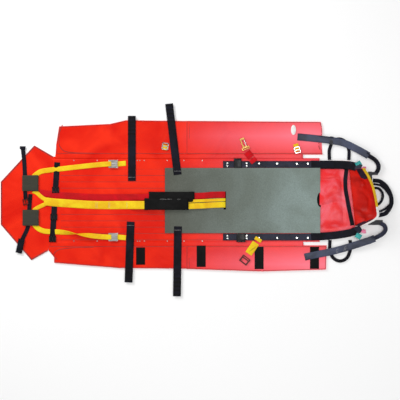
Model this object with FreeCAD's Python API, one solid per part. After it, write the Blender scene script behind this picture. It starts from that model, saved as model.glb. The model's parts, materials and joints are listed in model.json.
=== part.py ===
import FreeCAD
import Part
import os

Vector = FreeCAD.Vector

# A roll-up rescue stretcher, laid open. Millimetres.
# +X runs to the head end, +Y to the patient's right, +Z up; the underside lies on Z = 0.

# Driving dimensions: the back
BACK_LENGTH = 1810.0        # foot fold to head crease, on the centre line
BACK_HALF = 260.0           # centre line to each wing's fold
FOOT_X = -878.0             # foot fold on the centre line
HEAD_X = FOOT_X + BACK_LENGTH
FOOT_SLANT = 0.062          # the foot fold leans this much in X per millimetre of Y
HEAD_SLANT = -0.109         # the head crease leans the other way
SHEET = 1.2                 # coated fabric, one layer
GAP = 0.3                   # clearance between pieces that move or are sewn loosely
FOLD_GAP = 0.3              # base sheet to a folding panel

# The pocket panel and its battens
PANEL_TOP = 5.2
PANEL_FOOT = 62.0           # from the foot fold
PANEL_HEAD = 197.0          # from the head crease
PANEL_MARGIN = 10.0         # from each wing's fold
BATTENS_MID = -27.0         # middle of the row of battens, in Y
BATTENS_CENTRE_GAP = 120.0  # the free strip between the two groups
BATTEN_PITCH = 38.0
BATTENS_A_SIDE = 4
BATTEN_WIDTH = 32.0
BATTEN_THICK = 2.6
POCKET_CLEARANCE = 0.3

# The foam mat
MAT_LENGTH = 930.0
MAT_WIDTH = 390.0
MAT_THICK = 8.0
MAT_HEAD = 194.0            # from the head crease
MAT_SHIFT = -3.0            # its middle, in Y
MAT_TOP = PANEL_TOP + MAT_THICK
MAT_FOOT = HEAD_X - MAT_HEAD - MAT_LENGTH
SLOT_FROM_FOOT = 351.0      # strap slot, from the mat's foot end
SLOT_OPENING = 16.0
SLOT_LENGTH = 108.0

# Webbing
WEB = 2.2                   # thickness of every strap
FOOT_STRAP_WIDTH = 30.0
CENTRE_STRAP_WIDTH = 48.0
CENTRE_STRAP_Y = -30.0
RED_STRAP_WIDTH = 38.0
RED_STRAP_Y = 17.0
CLOSURE_WIDTH = 47.0
SIDE_WEB_WIDTH = 42.0
SIDE_WEB_CLEAR = {1: 0.0, -1: 3.0}        # from the mat's edge
SIDE_WEB_Y = {
    side: MAT_WIDTH / 2 + side * MAT_SHIFT + SIDE_WEB_WIDTH / 2 + SIDE_WEB_CLEAR[side] for side in (1, -1)}
SIDE_WEB_Y_HEAD = {1: 213.0, -1: 198.0}  # at the head end, where the left one leans in
LIFT_WIDTH = 42.0
HANDLE_WIDTH = 20.0
HANDLE_CLEAR = 5.0          # from the side webbing's edge
HANDLE_REACH = 366.0        # from the centre line
HAUL_WIDTH = 24.0
ON_PANEL = PANEL_TOP + GAP  # underside of a strap that lies on the pocket panel
ON_MAT = MAT_TOP + GAP
STRAP_FOLD_CLEAR = 16.0     # a strap's two parts each stop this far from the foot fold

# The two padded sleeves on the centre straps
SLEEVE_WALL = 1.2
SLEEVE_CLEARANCE = 0.7      # above and below the strap inside
SLEEVE_TRAVEL = 40.0        # each way along the strap
RAMP = 50.0                 # length over which a strap climbs or falls
BACK_SLEEVE_LENGTH = 277.0
BACK_SLEEVE_SPAN = (49.0, -18.0)
BACK_SLEEVE_START = -98.0   # from the mat's foot end
FRONT_SLEEVE_LENGTH = 262.0
FRONT_SLEEVE_SPAN = (13.0, -62.0)
FRONT_SLEEVE_START = -124.0
RED_LEVEL = ON_MAT + SLEEVE_WALL + SLEEVE_CLEARANCE
BACK_SLEEVE_TOP = RED_LEVEL + WEB + SLEEVE_CLEARANCE + SLEEVE_WALL
YELLOW_LEVEL = BACK_SLEEVE_TOP + GAP + SLEEVE_WALL + SLEEVE_CLEARANCE

# Wings: a base sheet with a doubled-over flap on it
WING_FLAP_TOP = 7.0
WING_FLAP_START = 16.0      # from the fold
WING_SPLIT = 150.0          # where the two flaps meet, from the mat's foot end
WING_PATCH = 1.6
CLOSURE_INNER_END = 5.0     # a closure strap's inner part stops this far inside the wing's fold
CLOSURE_OUTER_START = 20.0  # and its outer part starts this far outside

# Foot hood
HOOD_SHEET = 2.4
PAD = 4.0
PAD_SIDE = 96.0
HOOD_STRAP_WIDTH = 25.0
ON_HOOD = HOOD_SHEET + 0.2
PAD_BASE = ON_HOOD + WEB + 0.2

# Head hood
HOOD_WALL = 2.4
HOOD_HEIGHT = 96.0
RIM_STRAP_WIDTH = 24.0
TRIM_CLEAR = 3.0            # the rim strap stands this far off the curved wall
CORNER_START = 30.0         # the corner webbing starts this high

# Things that lie across the wings
LIFT_BASE = 9.0
TAB_BASE = 9.0
TAB_EDGE = 240.5            # the tabs' fold line, from the centre line
TAB_SHAPE = {1: (48.0, 42.0, 14.0), -1: (88.0, 62.0, 24.0)}  # reach, lean along X, narrowing
TAB_TIP_CLEAR = 14.0
HOOK_THICK = 6.0

# Buckles
CAM_BUCKLE = (57.0, 48.0)   # length and width
CAM_TAIL = 47.5             # free end of the strap beyond the buckle
CAM_CHEEK = 3.0
CAM_PLATE = 1.5
CAM_HEIGHT = 11.0
CAM_PIN_R = 1.5
CAM_PIN_CLEARANCE = 0.1
CAM_PIN_BACK = 8.0          # the pin lies this far on the foot side of the buckle's middle
CAM_PIN_DROP = 3.5          # and this far below the top of its cheeks
CAM_BARREL_R = 3.0
CAM_PLACE = {1: (FOOT_X + 376.0, 216.0), -1: (FOOT_X + 376.0, -222.0)}
RIVET_R = 5.0
SMALL_RIVET_R = 3.2
RIVET_HEIGHT = 1.4

UP = Vector(0, 0, 1)


# Helpers

def foot(distance):
    """X of a place this far from the foot fold."""
    return FOOT_X + distance


def head(distance):
    """X of a place this far on the foot side of the head crease."""
    return HEAD_X - distance


def foot_line(y, distance=0.0):
    """X on the slanting foot fold at this Y, moved along X."""
    return FOOT_X + FOOT_SLANT * y + distance


def head_line(y, distance=0.0):
    """X on the slanting head crease at this Y, moved along X."""
    return HEAD_X + HEAD_SLANT * y + distance


def box(low, high):
    """A block between two opposite corners."""
    size = [b - a for a, b in zip(low, high)]
    return Part.makeBox(size[0], size[1], size[2], Vector(*low))


def flat(outline, base, thick):
    """A sheet: a closed outline in X and Y, given a thickness upwards from base."""
    points = [Vector(x, y, base) for x, y in outline]
    face = Part.Face(Part.makePolygon(points + points[:1]))
    return face.extrude(UP * thick)


def skin(sections):
    """A closed solid through a row of four-cornered sections."""
    faces = []
    for end in (sections[0], sections[-1]):
        faces.append(Part.Face(Part.makePolygon(end + end[:1])))
    for near, far in zip(sections, sections[1:]):
        for corner in range(4):
            after = (corner + 1) % 4
            apart = near[corner], far[after]
            across = near[after], far[corner]
            if corner > 1:
                apart, across = across, apart
            for third in across:
                faces.append(Part.Face(Part.makePolygon([apart[0], apart[1], third, apart[0]])))
    solid = Part.makeSolid(Part.makeShell(faces))
    if solid.Volume < 0:
        solid.reverse()
    return solid


def ribbon(route, width, thick=WEB):
    """A flat strap whose underside follows a route of (x, y, z) points, its width level."""
    points = [Vector(*p) for p in route]
    ways = []
    for here, there in zip(points, points[1:]):
        way = Vector(there.x - here.x, there.y - here.y, 0)
        ways.append(way.normalize())
    sections = []
    for i, point in enumerate(points):
        before = ways[max(i - 1, 0)]
        after = ways[min(i, len(ways) - 1)]
        middle = (before + after).normalize()
        reach = width / 2 / middle.dot(after)
        side = Vector(-middle.y, middle.x, 0) * reach
        lift = UP * thick
        sections.append([point + side, point - side, point - side + lift, point + side + lift])
    return skin(sections)


def smooth(points, count):
    """Evenly spaced points on a smooth curve through the given ones."""
    curve = Part.BSplineCurve()
    curve.interpolate([Vector(*p) for p in points])
    return [(p.x, p.y, p.z) for p in curve.discretize(Number=count)]


def level(points, z):
    """The same points, all at one height."""
    return [(x, y, z) for x, y in points]


def post(x, y, base, radius, height):
    """An upright cylinder."""
    return Part.makeCylinder(radius, height, Vector(x, y, base), UP)


def group(shapes):
    """Several solids that make one piece."""
    return Part.makeCompound(shapes)


def placed(shape, x, y, z, turn):
    """A shape made at the origin, turned about Z by degrees and put at a place."""
    shape.rotate(Vector(0, 0, 0), UP, turn)
    shape.translate(Vector(x, y, z))
    return shape


# The back

def base_sheet():
    """The coated sheet under everything, narrower beside the head end."""
    edge = BACK_HALF - FOLD_GAP
    neck = SIDE_WEB_Y[1] + SIDE_WEB_WIDTH / 2
    outline = [
        (foot_line(edge, FOLD_GAP), edge), (head(300), edge), (head(290), neck), (head(20), neck),
        (head_line(188, -FOLD_GAP), 188), (head_line(-158, -FOLD_GAP), -158), (head(10), -neck + 14),
        (head(290), -neck), (head(300), -edge), (foot_line(-edge, FOLD_GAP), -edge)]
    return flat(outline, 0, SHEET)


def batten_rows(side):
    """Middles of one side's battens, in Y."""
    first = BATTENS_CENTRE_GAP / 2 + BATTEN_PITCH / 2
    return [BATTENS_MID + side * (first + BATTEN_PITCH * i) for i in range(BATTENS_A_SIDE)]


def batten(y, spare):
    """One batten, made larger all round by spare when it cuts its pocket."""
    half = BATTEN_WIDTH / 2 + spare
    low = (foot(PANEL_FOOT + 8) - spare, y - half, SHEET)
    high = (head(PANEL_HEAD + 8) + spare, y + half, SHEET + BATTEN_THICK + spare)
    return box(low, high)


def pocket_panel():
    """The upper layer of the back, with a pocket for each batten."""
    edge = BACK_HALF - PANEL_MARGIN
    panel = box((foot(PANEL_FOOT), -edge, SHEET), (head(PANEL_HEAD), edge, PANEL_TOP))
    for y in batten_rows(1) + batten_rows(-1):
        panel = panel.cut(batten(y, POCKET_CLEARANCE))
    return panel


def battens(side):
    """One side's row of battens."""
    return group([batten(y, 0.0) for y in batten_rows(side)])


def foam_mat():
    """The mat, with the slot that the centre straps go down through."""
    low_y = MAT_SHIFT - MAT_WIDTH / 2
    mat = box((MAT_FOOT, low_y, PANEL_TOP), (MAT_FOOT + MAT_LENGTH, low_y + MAT_WIDTH, MAT_TOP))
    slot_x = MAT_FOOT + SLOT_FROM_FOOT
    slot_low = (slot_x, MAT_SHIFT - SLOT_LENGTH / 2, PANEL_TOP)
    slot_high = (slot_x + SLOT_OPENING, MAT_SHIFT + SLOT_LENGTH / 2, MAT_TOP)
    return mat.cut(box(slot_low, slot_high))


def foot_cross_strap():
    """Two lengths of strap beside the foot fold, with the centre left free."""
    parts = []
    for ends in ((226, 38), (-36, -252)):
        route = [(foot_line(y, 30), y, SHEET) for y in ends]
        parts.append(ribbon(route, 34))
    return group(parts)


def foot_cross_buckles():
    """Plates riveted onto the strap beside the foot fold."""
    parts = []
    for y in (60, -102, -234):
        low = (foot_line(y, 10), y - 19, SHEET + WEB)
        parts.append(box(low, (low[0] + 42, y + 19, SHEET + WEB + 1.6)))
    return group(parts)


# The straps that run along the legs

def foot_strap(side):
    """From beside the foot fold through the cam buckle to under the closure strap."""
    buckle_x, buckle_y = CAM_PLACE[side]
    start_y = buckle_y - side * 32
    bend_y = buckle_y - side * 29
    half = CAM_BUCKLE[0] / 2
    raised = ON_PANEL + CAM_PLATE + GAP
    tail_y = buckle_y + side * 4
    route = [
        (foot_line(start_y, STRAP_FOLD_CLEAR), start_y, ON_PANEL), (foot(56), bend_y, ON_PANEL),
        (buckle_x - half - 10, buckle_y, ON_PANEL), (buckle_x - half, buckle_y, raised),
        (buckle_x + half, buckle_y, raised), (buckle_x + half + 10, buckle_y, ON_PANEL),
        (buckle_x + half + CAM_TAIL, tail_y, ON_PANEL)]
    return ribbon(route, FOOT_STRAP_WIDTH)


def centre_strap():
    """The wide strap between the legs, up into the front sleeve."""
    sleeve = MAT_FOOT + FRONT_SLEEVE_START
    top = sleeve - SLEEVE_TRAVEL - 6
    route = [
        (foot_line(-16, STRAP_FOLD_CLEAR), -14, ON_PANEL), (foot(266), CENTRE_STRAP_Y, ON_PANEL),
        (top - RAMP, CENTRE_STRAP_Y, ON_PANEL), (top, CENTRE_STRAP_Y, YELLOW_LEVEL),
        (sleeve + FRONT_SLEEVE_LENGTH / 2, CENTRE_STRAP_Y, YELLOW_LEVEL)]
    return ribbon(route, CENTRE_STRAP_WIDTH)


def slot_end(y, from_level, start_x, start_y, level_end, width):
    """A strap that leaves a sleeve, comes down onto the mat and dips into its slot."""
    slot_x = MAT_FOOT + SLOT_FROM_FOOT
    run = slot_x - start_x
    share = (level_end - start_x) / run
    level_y = start_y + (y - start_y) * share
    down_y = start_y + (y - start_y) * (level_end + RAMP - start_x) / run
    route = [
        (start_x, start_y, from_level), (level_end, level_y, from_level),
        (level_end + RAMP, down_y, ON_MAT), (slot_x + 1, y, ON_MAT),
        (slot_x + SLOT_OPENING - 3, y, PANEL_TOP + GAP)]
    return ribbon(route, width)


def slot_straps():
    """The two narrower straps that leave the front sleeve."""
    sleeve = MAT_FOOT + FRONT_SLEEVE_START
    start = sleeve + FRONT_SLEEVE_LENGTH / 2 + 10
    free = MAT_FOOT + BACK_SLEEVE_START + BACK_SLEEVE_LENGTH + SLEEVE_TRAVEL + 6
    upper = slot_end(1, YELLOW_LEVEL, start, -13, free, 18)
    lower = slot_end(-28, YELLOW_LEVEL, start, -42, free, 34)
    return group([upper, lower])


def red_strap():
    """The red strap, up through the back sleeve and down into the slot."""
    sleeve = MAT_FOOT + BACK_SLEEVE_START
    top = sleeve - SLEEVE_TRAVEL - 6
    free = sleeve + BACK_SLEEVE_LENGTH + SLEEVE_TRAVEL + 6
    slot_x = MAT_FOOT + SLOT_FROM_FOOT
    fold_y = 24
    route = [
        (foot_line(fold_y, STRAP_FOLD_CLEAR), fold_y + 8, ON_PANEL), (foot(266), RED_STRAP_Y, ON_PANEL),
        (top - RAMP, RED_STRAP_Y, ON_PANEL), (top, RED_STRAP_Y, RED_LEVEL),
        (free, RED_STRAP_Y + 8, RED_LEVEL),
        (free + RAMP, RED_STRAP_Y + 15, ON_MAT), (slot_x + 1, RED_STRAP_Y + 15, ON_MAT),
        (slot_x + SLOT_OPENING - 3, RED_STRAP_Y + 15, PANEL_TOP + GAP)]
    return ribbon(route, RED_STRAP_WIDTH)


def sleeve(start, length, span, strap_level):
    """A padded tube of fabric around a strap, open at both ends."""
    x = MAT_FOOT + start
    inner_low = strap_level - SLEEVE_CLEARANCE
    inner_high = strap_level + WEB + SLEEVE_CLEARANCE
    outer = box((x, span[1], inner_low - SLEEVE_WALL), (x + length, span[0], inner_high + SLEEVE_WALL))
    inner_low_corner = (x - 1, span[1] + SLEEVE_WALL, inner_low)
    inner_high_corner = (x + length + 1, span[0] - SLEEVE_WALL, inner_high)
    return outer.cut(box(inner_low_corner, inner_high_corner))


# Cam buckles on the foot straps

def cam_pin_height():
    return ON_PANEL + CAM_HEIGHT - CAM_PIN_DROP


def cam_frame(side):
    """A base plate with two upright cheeks and the pin between them."""
    x, y = CAM_PLACE[side]
    half_x, half_y = CAM_BUCKLE[0] / 2, CAM_BUCKLE[1] / 2
    base = ON_PANEL - GAP
    frame = box((x - half_x, y - half_y, base), (x + half_x, y + half_y, base + CAM_PLATE))
    for edge in (-half_y, half_y - CAM_CHEEK):
        low = (x - half_x + 6, y + edge, base)
        frame = frame.fuse(box(low, (x + half_x - 6, y + edge + CAM_CHEEK, base + CAM_HEIGHT)))
    pin_start = Vector(x - CAM_PIN_BACK, y - half_y + 1, cam_pin_height())
    pin = Part.makeCylinder(CAM_PIN_R, CAM_BUCKLE[1] - 2, pin_start, Vector(0, 1, 0))
    return frame.fuse(pin).removeSplitter()


def cam_lever(side):
    """The lever's barrel turns on the frame's pin, and its blade lies back over the strap."""
    x, y = CAM_PLACE[side]
    half = CAM_BUCKLE[1] / 2 - CAM_CHEEK - GAP
    z = cam_pin_height()
    pin_x = x - CAM_PIN_BACK
    along = Vector(0, 1, 0)
    barrel = Part.makeCylinder(CAM_BARREL_R, 2 * half, Vector(pin_x, y - half, z), along)
    blade = box((pin_x, y - half, z + 0.8), (x + 21, y + half, z + 3.0))
    lip = box((x + 21, y - half + 4, z + 0.8), (x + 26, y + half - 4, z + 4.6))
    bore_start = Vector(pin_x, y - half - 1, z)
    bore = Part.makeCylinder(CAM_PIN_R + CAM_PIN_CLEARANCE, 2 * half + 2, bore_start, along)
    return barrel.fuse([blade, lip]).removeSplitter().cut(bore)


# Side webbing

def side_route(side):
    """Along the back beside the mat, then up at the head end."""
    y, far_y = side * SIDE_WEB_Y[side], side * SIDE_WEB_Y_HEAD[side]
    return [
        (MAT_FOOT + 348, y, ON_PANEL), (head(MAT_HEAD - 6), y, ON_PANEL),
        (head(2), far_y, ON_PANEL), (head(-40), far_y, ON_PANEL + 40)]


def side_webbing(side):
    """The long webbing beside the mat, with a sewn block that holds the tab."""
    strap = ribbon(side_route(side), SIDE_WEB_WIDTH)
    low_x, high_x = tab_root(side)
    block_low = side * (SIDE_WEB_Y[side] + SIDE_WEB_WIDTH / 2 - 6)
    block_high = side * (TAB_EDGE - GAP)
    ys = sorted((block_low, block_high))
    block = box((low_x, ys[0], ON_PANEL + WEB), (high_x, ys[1], TAB_BASE + WEB))
    return strap.fuse(block)


def side_adjusters():
    """Three-bar plates over the webbing, beside the mat."""
    parts = []
    for side, x, length, reach in ((1, head(688), 46, 246), (-1, head(668), 54, 250)):
        mat_edge = MAT_WIDTH / 2 + side * MAT_SHIFT
        ys = sorted((side * (mat_edge + 1), side * reach))
        base = ON_PANEL + WEB + GAP
        frame = box((x - length / 2, ys[0], base), (x + length / 2, ys[1], base + 3.4))
        for slot_x in (x - length / 4, x + length / 4):
            frame = frame.cut(box((slot_x - 5, ys[0] + 7, base - 1), (slot_x + 5, ys[1] - 7, base + 5)))
        parts.append(frame)
    return group(parts)


# Rivets in the side webbing: (distance from the head crease, shifts across the webbing)
WEBBING_RIVETS = (
    (750, (-8, 8)), (634, (-8, 8)), (560, (5,)), (452, (5,)), (334, (5,)), (268, (5,)))


def webbing_rivets():
    """Rivets through the side webbing: two pairs, then single ones."""
    parts = []
    base = ON_PANEL + WEB
    for side in (1, -1):
        middle = SIDE_WEB_Y[side]
        for along, shifts in WEBBING_RIVETS:
            for shift in shifts:
                parts.append(post(head(along), side * (middle + shift), base, RIVET_R, RIVET_HEIGHT))
    return parts


def body_rivets():
    """Small rivets along both edges of the pocket panel."""
    parts = []
    for along in (140, 280, 521, 535, 562, 700, 800, 910):
        for y in (237, -246):
            parts.append(post(foot(along), y, PANEL_TOP, SMALL_RIVET_R, RIVET_HEIGHT))
    return [p for p in parts if p.BoundBox.XMax < MAT_FOOT + 348]


# Closure straps: each crosses a wing's fold, in two parts

# Inner end, then outer end: (X from the mat's foot end, Y)
CLOSURE_ENDS = {
    ("foot", 1): ((-198, 114), (-198, 504)),
    ("foot", -1): ((-205, -130), (-218, -494)),
    ("middle", 1): ((76, 151), (25, 577)),
    ("middle", -1): ((78, -158), (72, -577)),
}


def closure_point(side, which, y, z):
    """A point on a closure strap's middle line, at this Y."""
    (x0, y0), (x1, y1) = CLOSURE_ENDS[which, side]
    return (MAT_FOOT + x0 + (x1 - x0) * (y - y0) / (y1 - y0), y, z)


def closure_inner(side, which):
    """The part on the back; the middle ones start on the mat and step down off its edge."""
    inner_end = CLOSURE_ENDS[which, side][0][1]
    fold = side * (BACK_HALF - CLOSURE_INNER_END)
    stops = [(inner_end, ON_PANEL), (fold, ON_PANEL)]
    if which == "middle":
        mat_edge = MAT_SHIFT + side * MAT_WIDTH / 2
        down = [(mat_edge + side * 4, ON_MAT), (mat_edge + side * 12, ON_PANEL)]
        stops = [(inner_end, ON_MAT)] + down + [(fold, ON_PANEL)]
    return ribbon([closure_point(side, which, y, z) for y, z in stops], CLOSURE_WIDTH)


def closure_outer(side, which):
    """The part on the wing."""
    start = side * (BACK_HALF + CLOSURE_OUTER_START)
    end = CLOSURE_ENDS[which, side][1][1]
    route = [closure_point(side, which, y, WING_FLAP_TOP) for y in (start, end)]
    return ribbon(route, CLOSURE_WIDTH)


# Wings

def wing_outline(side):
    """Corners as (x, distance out from the fold)."""
    if side > 0:
        return [
            (foot(28), FOLD_GAP), (head(296), FOLD_GAP), (head(308), 12), (head(180), 12), (head(190), 208),
            (MAT_FOOT + WING_SPLIT, 213), (foot(452), 218), (foot(358), 196), (foot(52), 181), (foot(34), 70)]
    return [
        (foot(-10), FOLD_GAP), (head(296), FOLD_GAP), (head(308), 12), (head(155), 12),
        (head(159), 157), (head(542), 168), (MAT_FOOT + WING_SPLIT, 152), (foot(416), 148), (foot(22), 116),
        (foot(22), 82), (foot(-12), 44)]


def wing_sheet(side, base, thick):
    """The whole outline of a wing as a slab."""
    outline = [(x, side * (BACK_HALF + out)) for x, out in wing_outline(side)]
    return flat(outline, base, thick)


def wing_panel(side):
    return wing_sheet(side, 0, SHEET)


def wing_flap(side, end):
    """Half of the doubled-over flap, foot end or head end."""
    slab = wing_sheet(side, SHEET, WING_FLAP_TOP - SHEET)
    split = MAT_FOOT + WING_SPLIT
    low_x, high_x = (foot(-50), split - GAP / 2) if end == "foot" else (split + GAP / 2, HEAD_X)
    ys = sorted((side * (BACK_HALF + WING_FLAP_START), side * (BACK_HALF * 2)))
    return slab.common(box((low_x, ys[0], 0), (high_x, ys[1], WING_FLAP_TOP + 1)))


def triglide(length, width, thick):
    """A small three-bar slide at the origin."""
    frame = box((-length / 2, -width / 2, 0), (length / 2, width / 2, thick))
    half_window = length / 9
    for x in (-length / 4, length / 4):
        low = (x - half_window, -width / 2 + 3, -1)
        frame = frame.cut(box(low, (x + half_window, width / 2 - 3, thick + 1)))
    return frame


def right_wing_slides():
    """Two small slides that lie on the wing."""
    parts = []
    for x, y, turn in ((MAT_FOOT + 2, 318, 80), (head(336), 312, 105)):
        parts.append(placed(triglide(44, 40, 3), x, y, WING_FLAP_TOP, turn))
    return group(parts)


def left_wing_patches():
    """Patches of loop tape that the closure straps press onto, and the end strap."""
    parts = []
    places = ((MAT_FOOT - 146, 284, 388), (MAT_FOOT + 217, 273, 401), (head(560), 280, 414),
              (head(228), 280, 410))
    for x, low, high in places:
        parts.append(box((x - 27, -high, WING_FLAP_TOP), (x + 27, -low, WING_FLAP_TOP + WING_PATCH)))
    return group(parts)


# Tabs that fold out from the side webbing over the wings

def tab_root(side):
    """X span where a tab meets its side webbing."""
    return (head(626), head(566)) if side > 0 else (head(602), head(538))


def tab(side):
    """A flat tab that leans and narrows towards its tip."""
    low_x, high_x = tab_root(side)
    reach, lean, narrow = TAB_SHAPE[side]
    near, far = side * TAB_EDGE, side * (TAB_EDGE + reach)
    far_high, far_low = high_x - lean - narrow / 2, low_x - lean + narrow / 2
    outline = [(low_x, near), (high_x, near), (far_high, far), (far_low, far)]
    return flat(outline, TAB_BASE, WEB)


def tab_tip(side):
    """Where the hook or the receiver starts."""
    low_x, high_x = tab_root(side)
    reach, lean, _ = TAB_SHAPE[side]
    return (low_x + high_x) / 2 - lean, side * (TAB_EDGE + reach + TAB_TIP_CLEAR)


HOOK_TURN = 22.0            # the hook's length leans this many degrees from +Y


def snap_hook():
    """Webbing bar, then a body with a window and a gap that the gate closes."""
    bar = box((-23, 0.5, 0), (23, 14, HOOK_THICK)).cut(box((-19, 4, -1), (19, 10, HOOK_THICK + 1)))
    body = box((-13, 14, 0), (13, 72, HOOK_THICK)).cut(box((-7, 20, -1), (7, 64, HOOK_THICK + 1)))
    body = body.cut(box((6, 21.5, -1), (14, 57, HOOK_THICK + 1)))
    x, y = tab_tip(1)
    return placed(bar.fuse(body).removeSplitter(), x, y, TAB_BASE, HOOK_TURN)


def hook_gate():
    """The bar that closes the gap in the hook's side."""
    gate = box((8, 23.5, 1), (12, 56.4, HOOK_THICK - 1))
    x, y = tab_tip(1)
    return placed(gate, x, y, TAB_BASE, HOOK_TURN)


def receiver():
    """The flat ring that the hook snaps into, on the other side's tab."""
    ring = box((-27, 0.5, 0), (27, 44, 5))
    ring = ring.cut(box((-20, 5, -1), (20, 11, 6)))
    ring = ring.cut(box((-19, 17, -1), (19, 37, 6)))
    x, y = tab_tip(-1)
    return placed(ring, x, y, TAB_BASE, 180 - 38)


# Lifting straps, carrying handles and haul loops

def lift_route(side):
    """(x, y) points from the strap's free end round to its root."""
    if side > 0:
        return [
            (head(330), 378), (head(134), 357), (head(56), 342), (head(-46), 288), (head(-118), 250),
            (head(-152), 212), (head(-146), 182), (head(-136), 161)]
    return [
        (head(287), -342), (head(134), -312), (head(44), -288), (head(-118), -237), (head(-176), -206),
        (head(-200), -176), (head(-188), -150), (head(-166), -138)]


def lift_strap(side):
    """A long lifting strap that lies over the wing."""
    return ribbon(smooth(level(lift_route(side), LIFT_BASE), 25), LIFT_WIDTH)


def lift_keeper():
    """A band around the right lifting strap."""
    outer = box((-10, -LIFT_WIDTH / 2 - 3, -0.6), (10, LIFT_WIDTH / 2 + 3, WEB + 1.6))
    inner = box((-11, -LIFT_WIDTH / 2 - 1, -0.2), (11, LIFT_WIDTH / 2 + 1, WEB + 0.6))
    return placed(outer.cut(inner), head(127), 356, LIFT_BASE, -8)


def handle(side):
    """A loop of webbing that stands out from the side webbing."""
    root = side * (SIDE_WEB_Y[1] + SIDE_WEB_WIDTH / 2 + HANDLE_CLEAR)
    low_x, high_x = (head(137), head(22)) if side > 0 else (head(134), head(14))
    middle = (low_x + high_x) / 2
    top = side * HANDLE_REACH
    shoulder = side * (HANDLE_REACH - 62)
    route = [
        (low_x, root), (low_x - 2, (root + shoulder) / 2), (low_x, shoulder),
        (low_x + 20, top - side * 18), (middle, top), (high_x - 20, top - side * 18),
        (high_x, shoulder), (high_x + 2, (root + shoulder) / 2), (high_x, root)]
    return ribbon(smooth(level(route, 3.0), 33), HANDLE_WIDTH)


TOW_X = HEAD_X + 118        # outer edge of the tow bar, where the haul loops turn


def tow_webbing():
    """Webbing that runs out from under the head end and carries the straps' roots."""
    bar = box((TOW_X - 24, -140, 0), (TOW_X, 170, WEB))
    for low_y, high_y in ((132, 160), (-142, -106)):
        bar = bar.fuse(box((head_line(-158, 2), low_y, 0), (TOW_X, high_y, WEB)))
    right_root = box((TOW_X - 24, 150, 0), (TOW_X + 34, 168, WEB))
    left_root = box((TOW_X - 24, -150, 0), (TOW_X + 64, -120, WEB))
    bar = bar.fuse([right_root, left_root])
    right_pad = box((head(-126), 152, WEB), (head(-152), 168, LIFT_BASE - GAP))
    left_pad = box((head(-158), -150, WEB), (head(-182), -124, LIFT_BASE - GAP))
    return bar.fuse([right_pad, left_pad]).removeSplitter()


def haul_loop():
    """The outer loop at the head end."""
    route = [
        (TOW_X + 4, 117), (TOW_X + 48, 110), (TOW_X + 90, 68), (TOW_X + 112, -8), (TOW_X + 84, -76),
        (TOW_X + 44, -90), (TOW_X + 4, -92)]
    return ribbon(smooth(level(route, 0.0), 33), HAUL_WIDTH)


def haul_inner_loop():
    """The smaller loop that lies on the outer one."""
    route = [(TOW_X + 4, 74), (TOW_X + 40, 66), (TOW_X + 60, 28), (TOW_X + 44, -18), (TOW_X + 4, -36)]
    return ribbon(smooth(level(route, WEB + GAP), 25), HAUL_WIDTH * 0.7)


# Foot hood

def foot_hood():
    """The flap of coated sheet beyond the foot fold."""
    outline = [(0, 258), (-117, 324), (-303, 108), (-287, -147), (-92, -358), (0, -304)]
    return flat([(foot_line(y, d - FOLD_GAP), y) for d, y in outline], 0, HOOD_SHEET)


def hood_pads():
    """The two square pads."""
    parts = []
    for x, y in ((foot(-122), 99), (foot(-120), -108)):
        half = PAD_SIDE / 2
        parts.append(box((x - half, y - half, PAD_BASE), (x + half, y + half, PAD_BASE + PAD)))
    return group(parts)


def hood_strap_right():
    """Narrow strap from its stitched end, under one pad, to the middle."""
    end = (foot(-166), 308)
    route = [end, (foot(-154), 150), (foot(-152), 50), (foot(-149), 6)]
    strap = ribbon(level(route, ON_HOOD), HOOD_STRAP_WIDTH)
    knob = box((end[0] - 18, end[1], ON_HOOD), (end[0] + 18, end[1] + 16, ON_HOOD + 6))
    return strap.fuse(knob).removeSplitter()


def hood_strap_left():
    """The same on the other side, with a thick looped end."""
    route = [(foot(-121), 36), (foot(-128), -60), (foot(-136), -160), (foot(-176), -250)]
    strap = ribbon(level(route, ON_HOOD), HOOD_STRAP_WIDTH)
    loop = ribbon(level([(foot(-172), -232), (foot(-190), -316)], ON_HOOD + WEB), 40, 5)
    return strap.fuse(loop).removeSplitter()


def hood_slide():
    """The slide between the two narrow straps."""
    return placed(triglide(34, 38, 3), foot(-148), -12, ON_HOOD + WEB + GAP, 10)


def hood_yellow_ends():
    """Ends of the yellow straps, from under the pads to beside the foot fold."""
    clear = -STRAP_FOLD_CLEAR
    routes = [
        ([(foot(-106), 132), (foot(-80), 158), (foot_line(178, clear), 180)], 27),
        ([(foot(-102), -136), (foot(-76), -166), (foot_line(-188, clear), -188)], 27),
        ([(foot(-104), 56), (foot(-72), 30)], 24),
        ([(foot(-106), -66), (foot(-60), -34)], 24),
        ([(foot(-60), 5), (foot_line(-14, clear), -8)], 40)]
    return group([ribbon(level(route, ON_HOOD), width) for route, width in routes])


# Head hood

def hood_edges():
    """Matching points along the crease and along the rim."""
    lower_y = (184, 140, 66, -70, -112, -154)
    upper = ((43, 186), (76, 132), (104, 60), (125, -78), (124, -104), (34, -154))
    lower = [Vector(head_line(y, 0.5), y, SHEET + GAP) for y in lower_y]
    rim = [Vector(HEAD_X + x, y, HOOD_HEIGHT) for x, y in upper]
    return lower, rim


def band(low_points, high_points, offset, thick):
    """A skin between two rows of points, given its thickness along X."""
    out, through = Vector(offset, 0, 0), Vector(thick, 0, 0)
    sections = []
    for a, b in zip(low_points, high_points):
        sections.append([a + out, a + out + through, b + out + through, b + out])
    return skin(sections)


def head_hood():
    """The end wall, leaning out to its rim."""
    lower, rim = hood_edges()
    return band(lower, rim, 0, HOOD_WALL)


def along_wall(low, high, distance):
    """A point on the wall, this far below the rim."""
    way = (low - high).normalize()
    return high + way * distance


def rim_strap():
    """The strap along the outside of the rim."""
    lower, rim = hood_edges()
    below = [along_wall(a, b, RIM_STRAP_WIDTH) for a, b in zip(lower, rim)]
    return band(below, rim, HOOD_WALL + TRIM_CLEAR, WEB)


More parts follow.
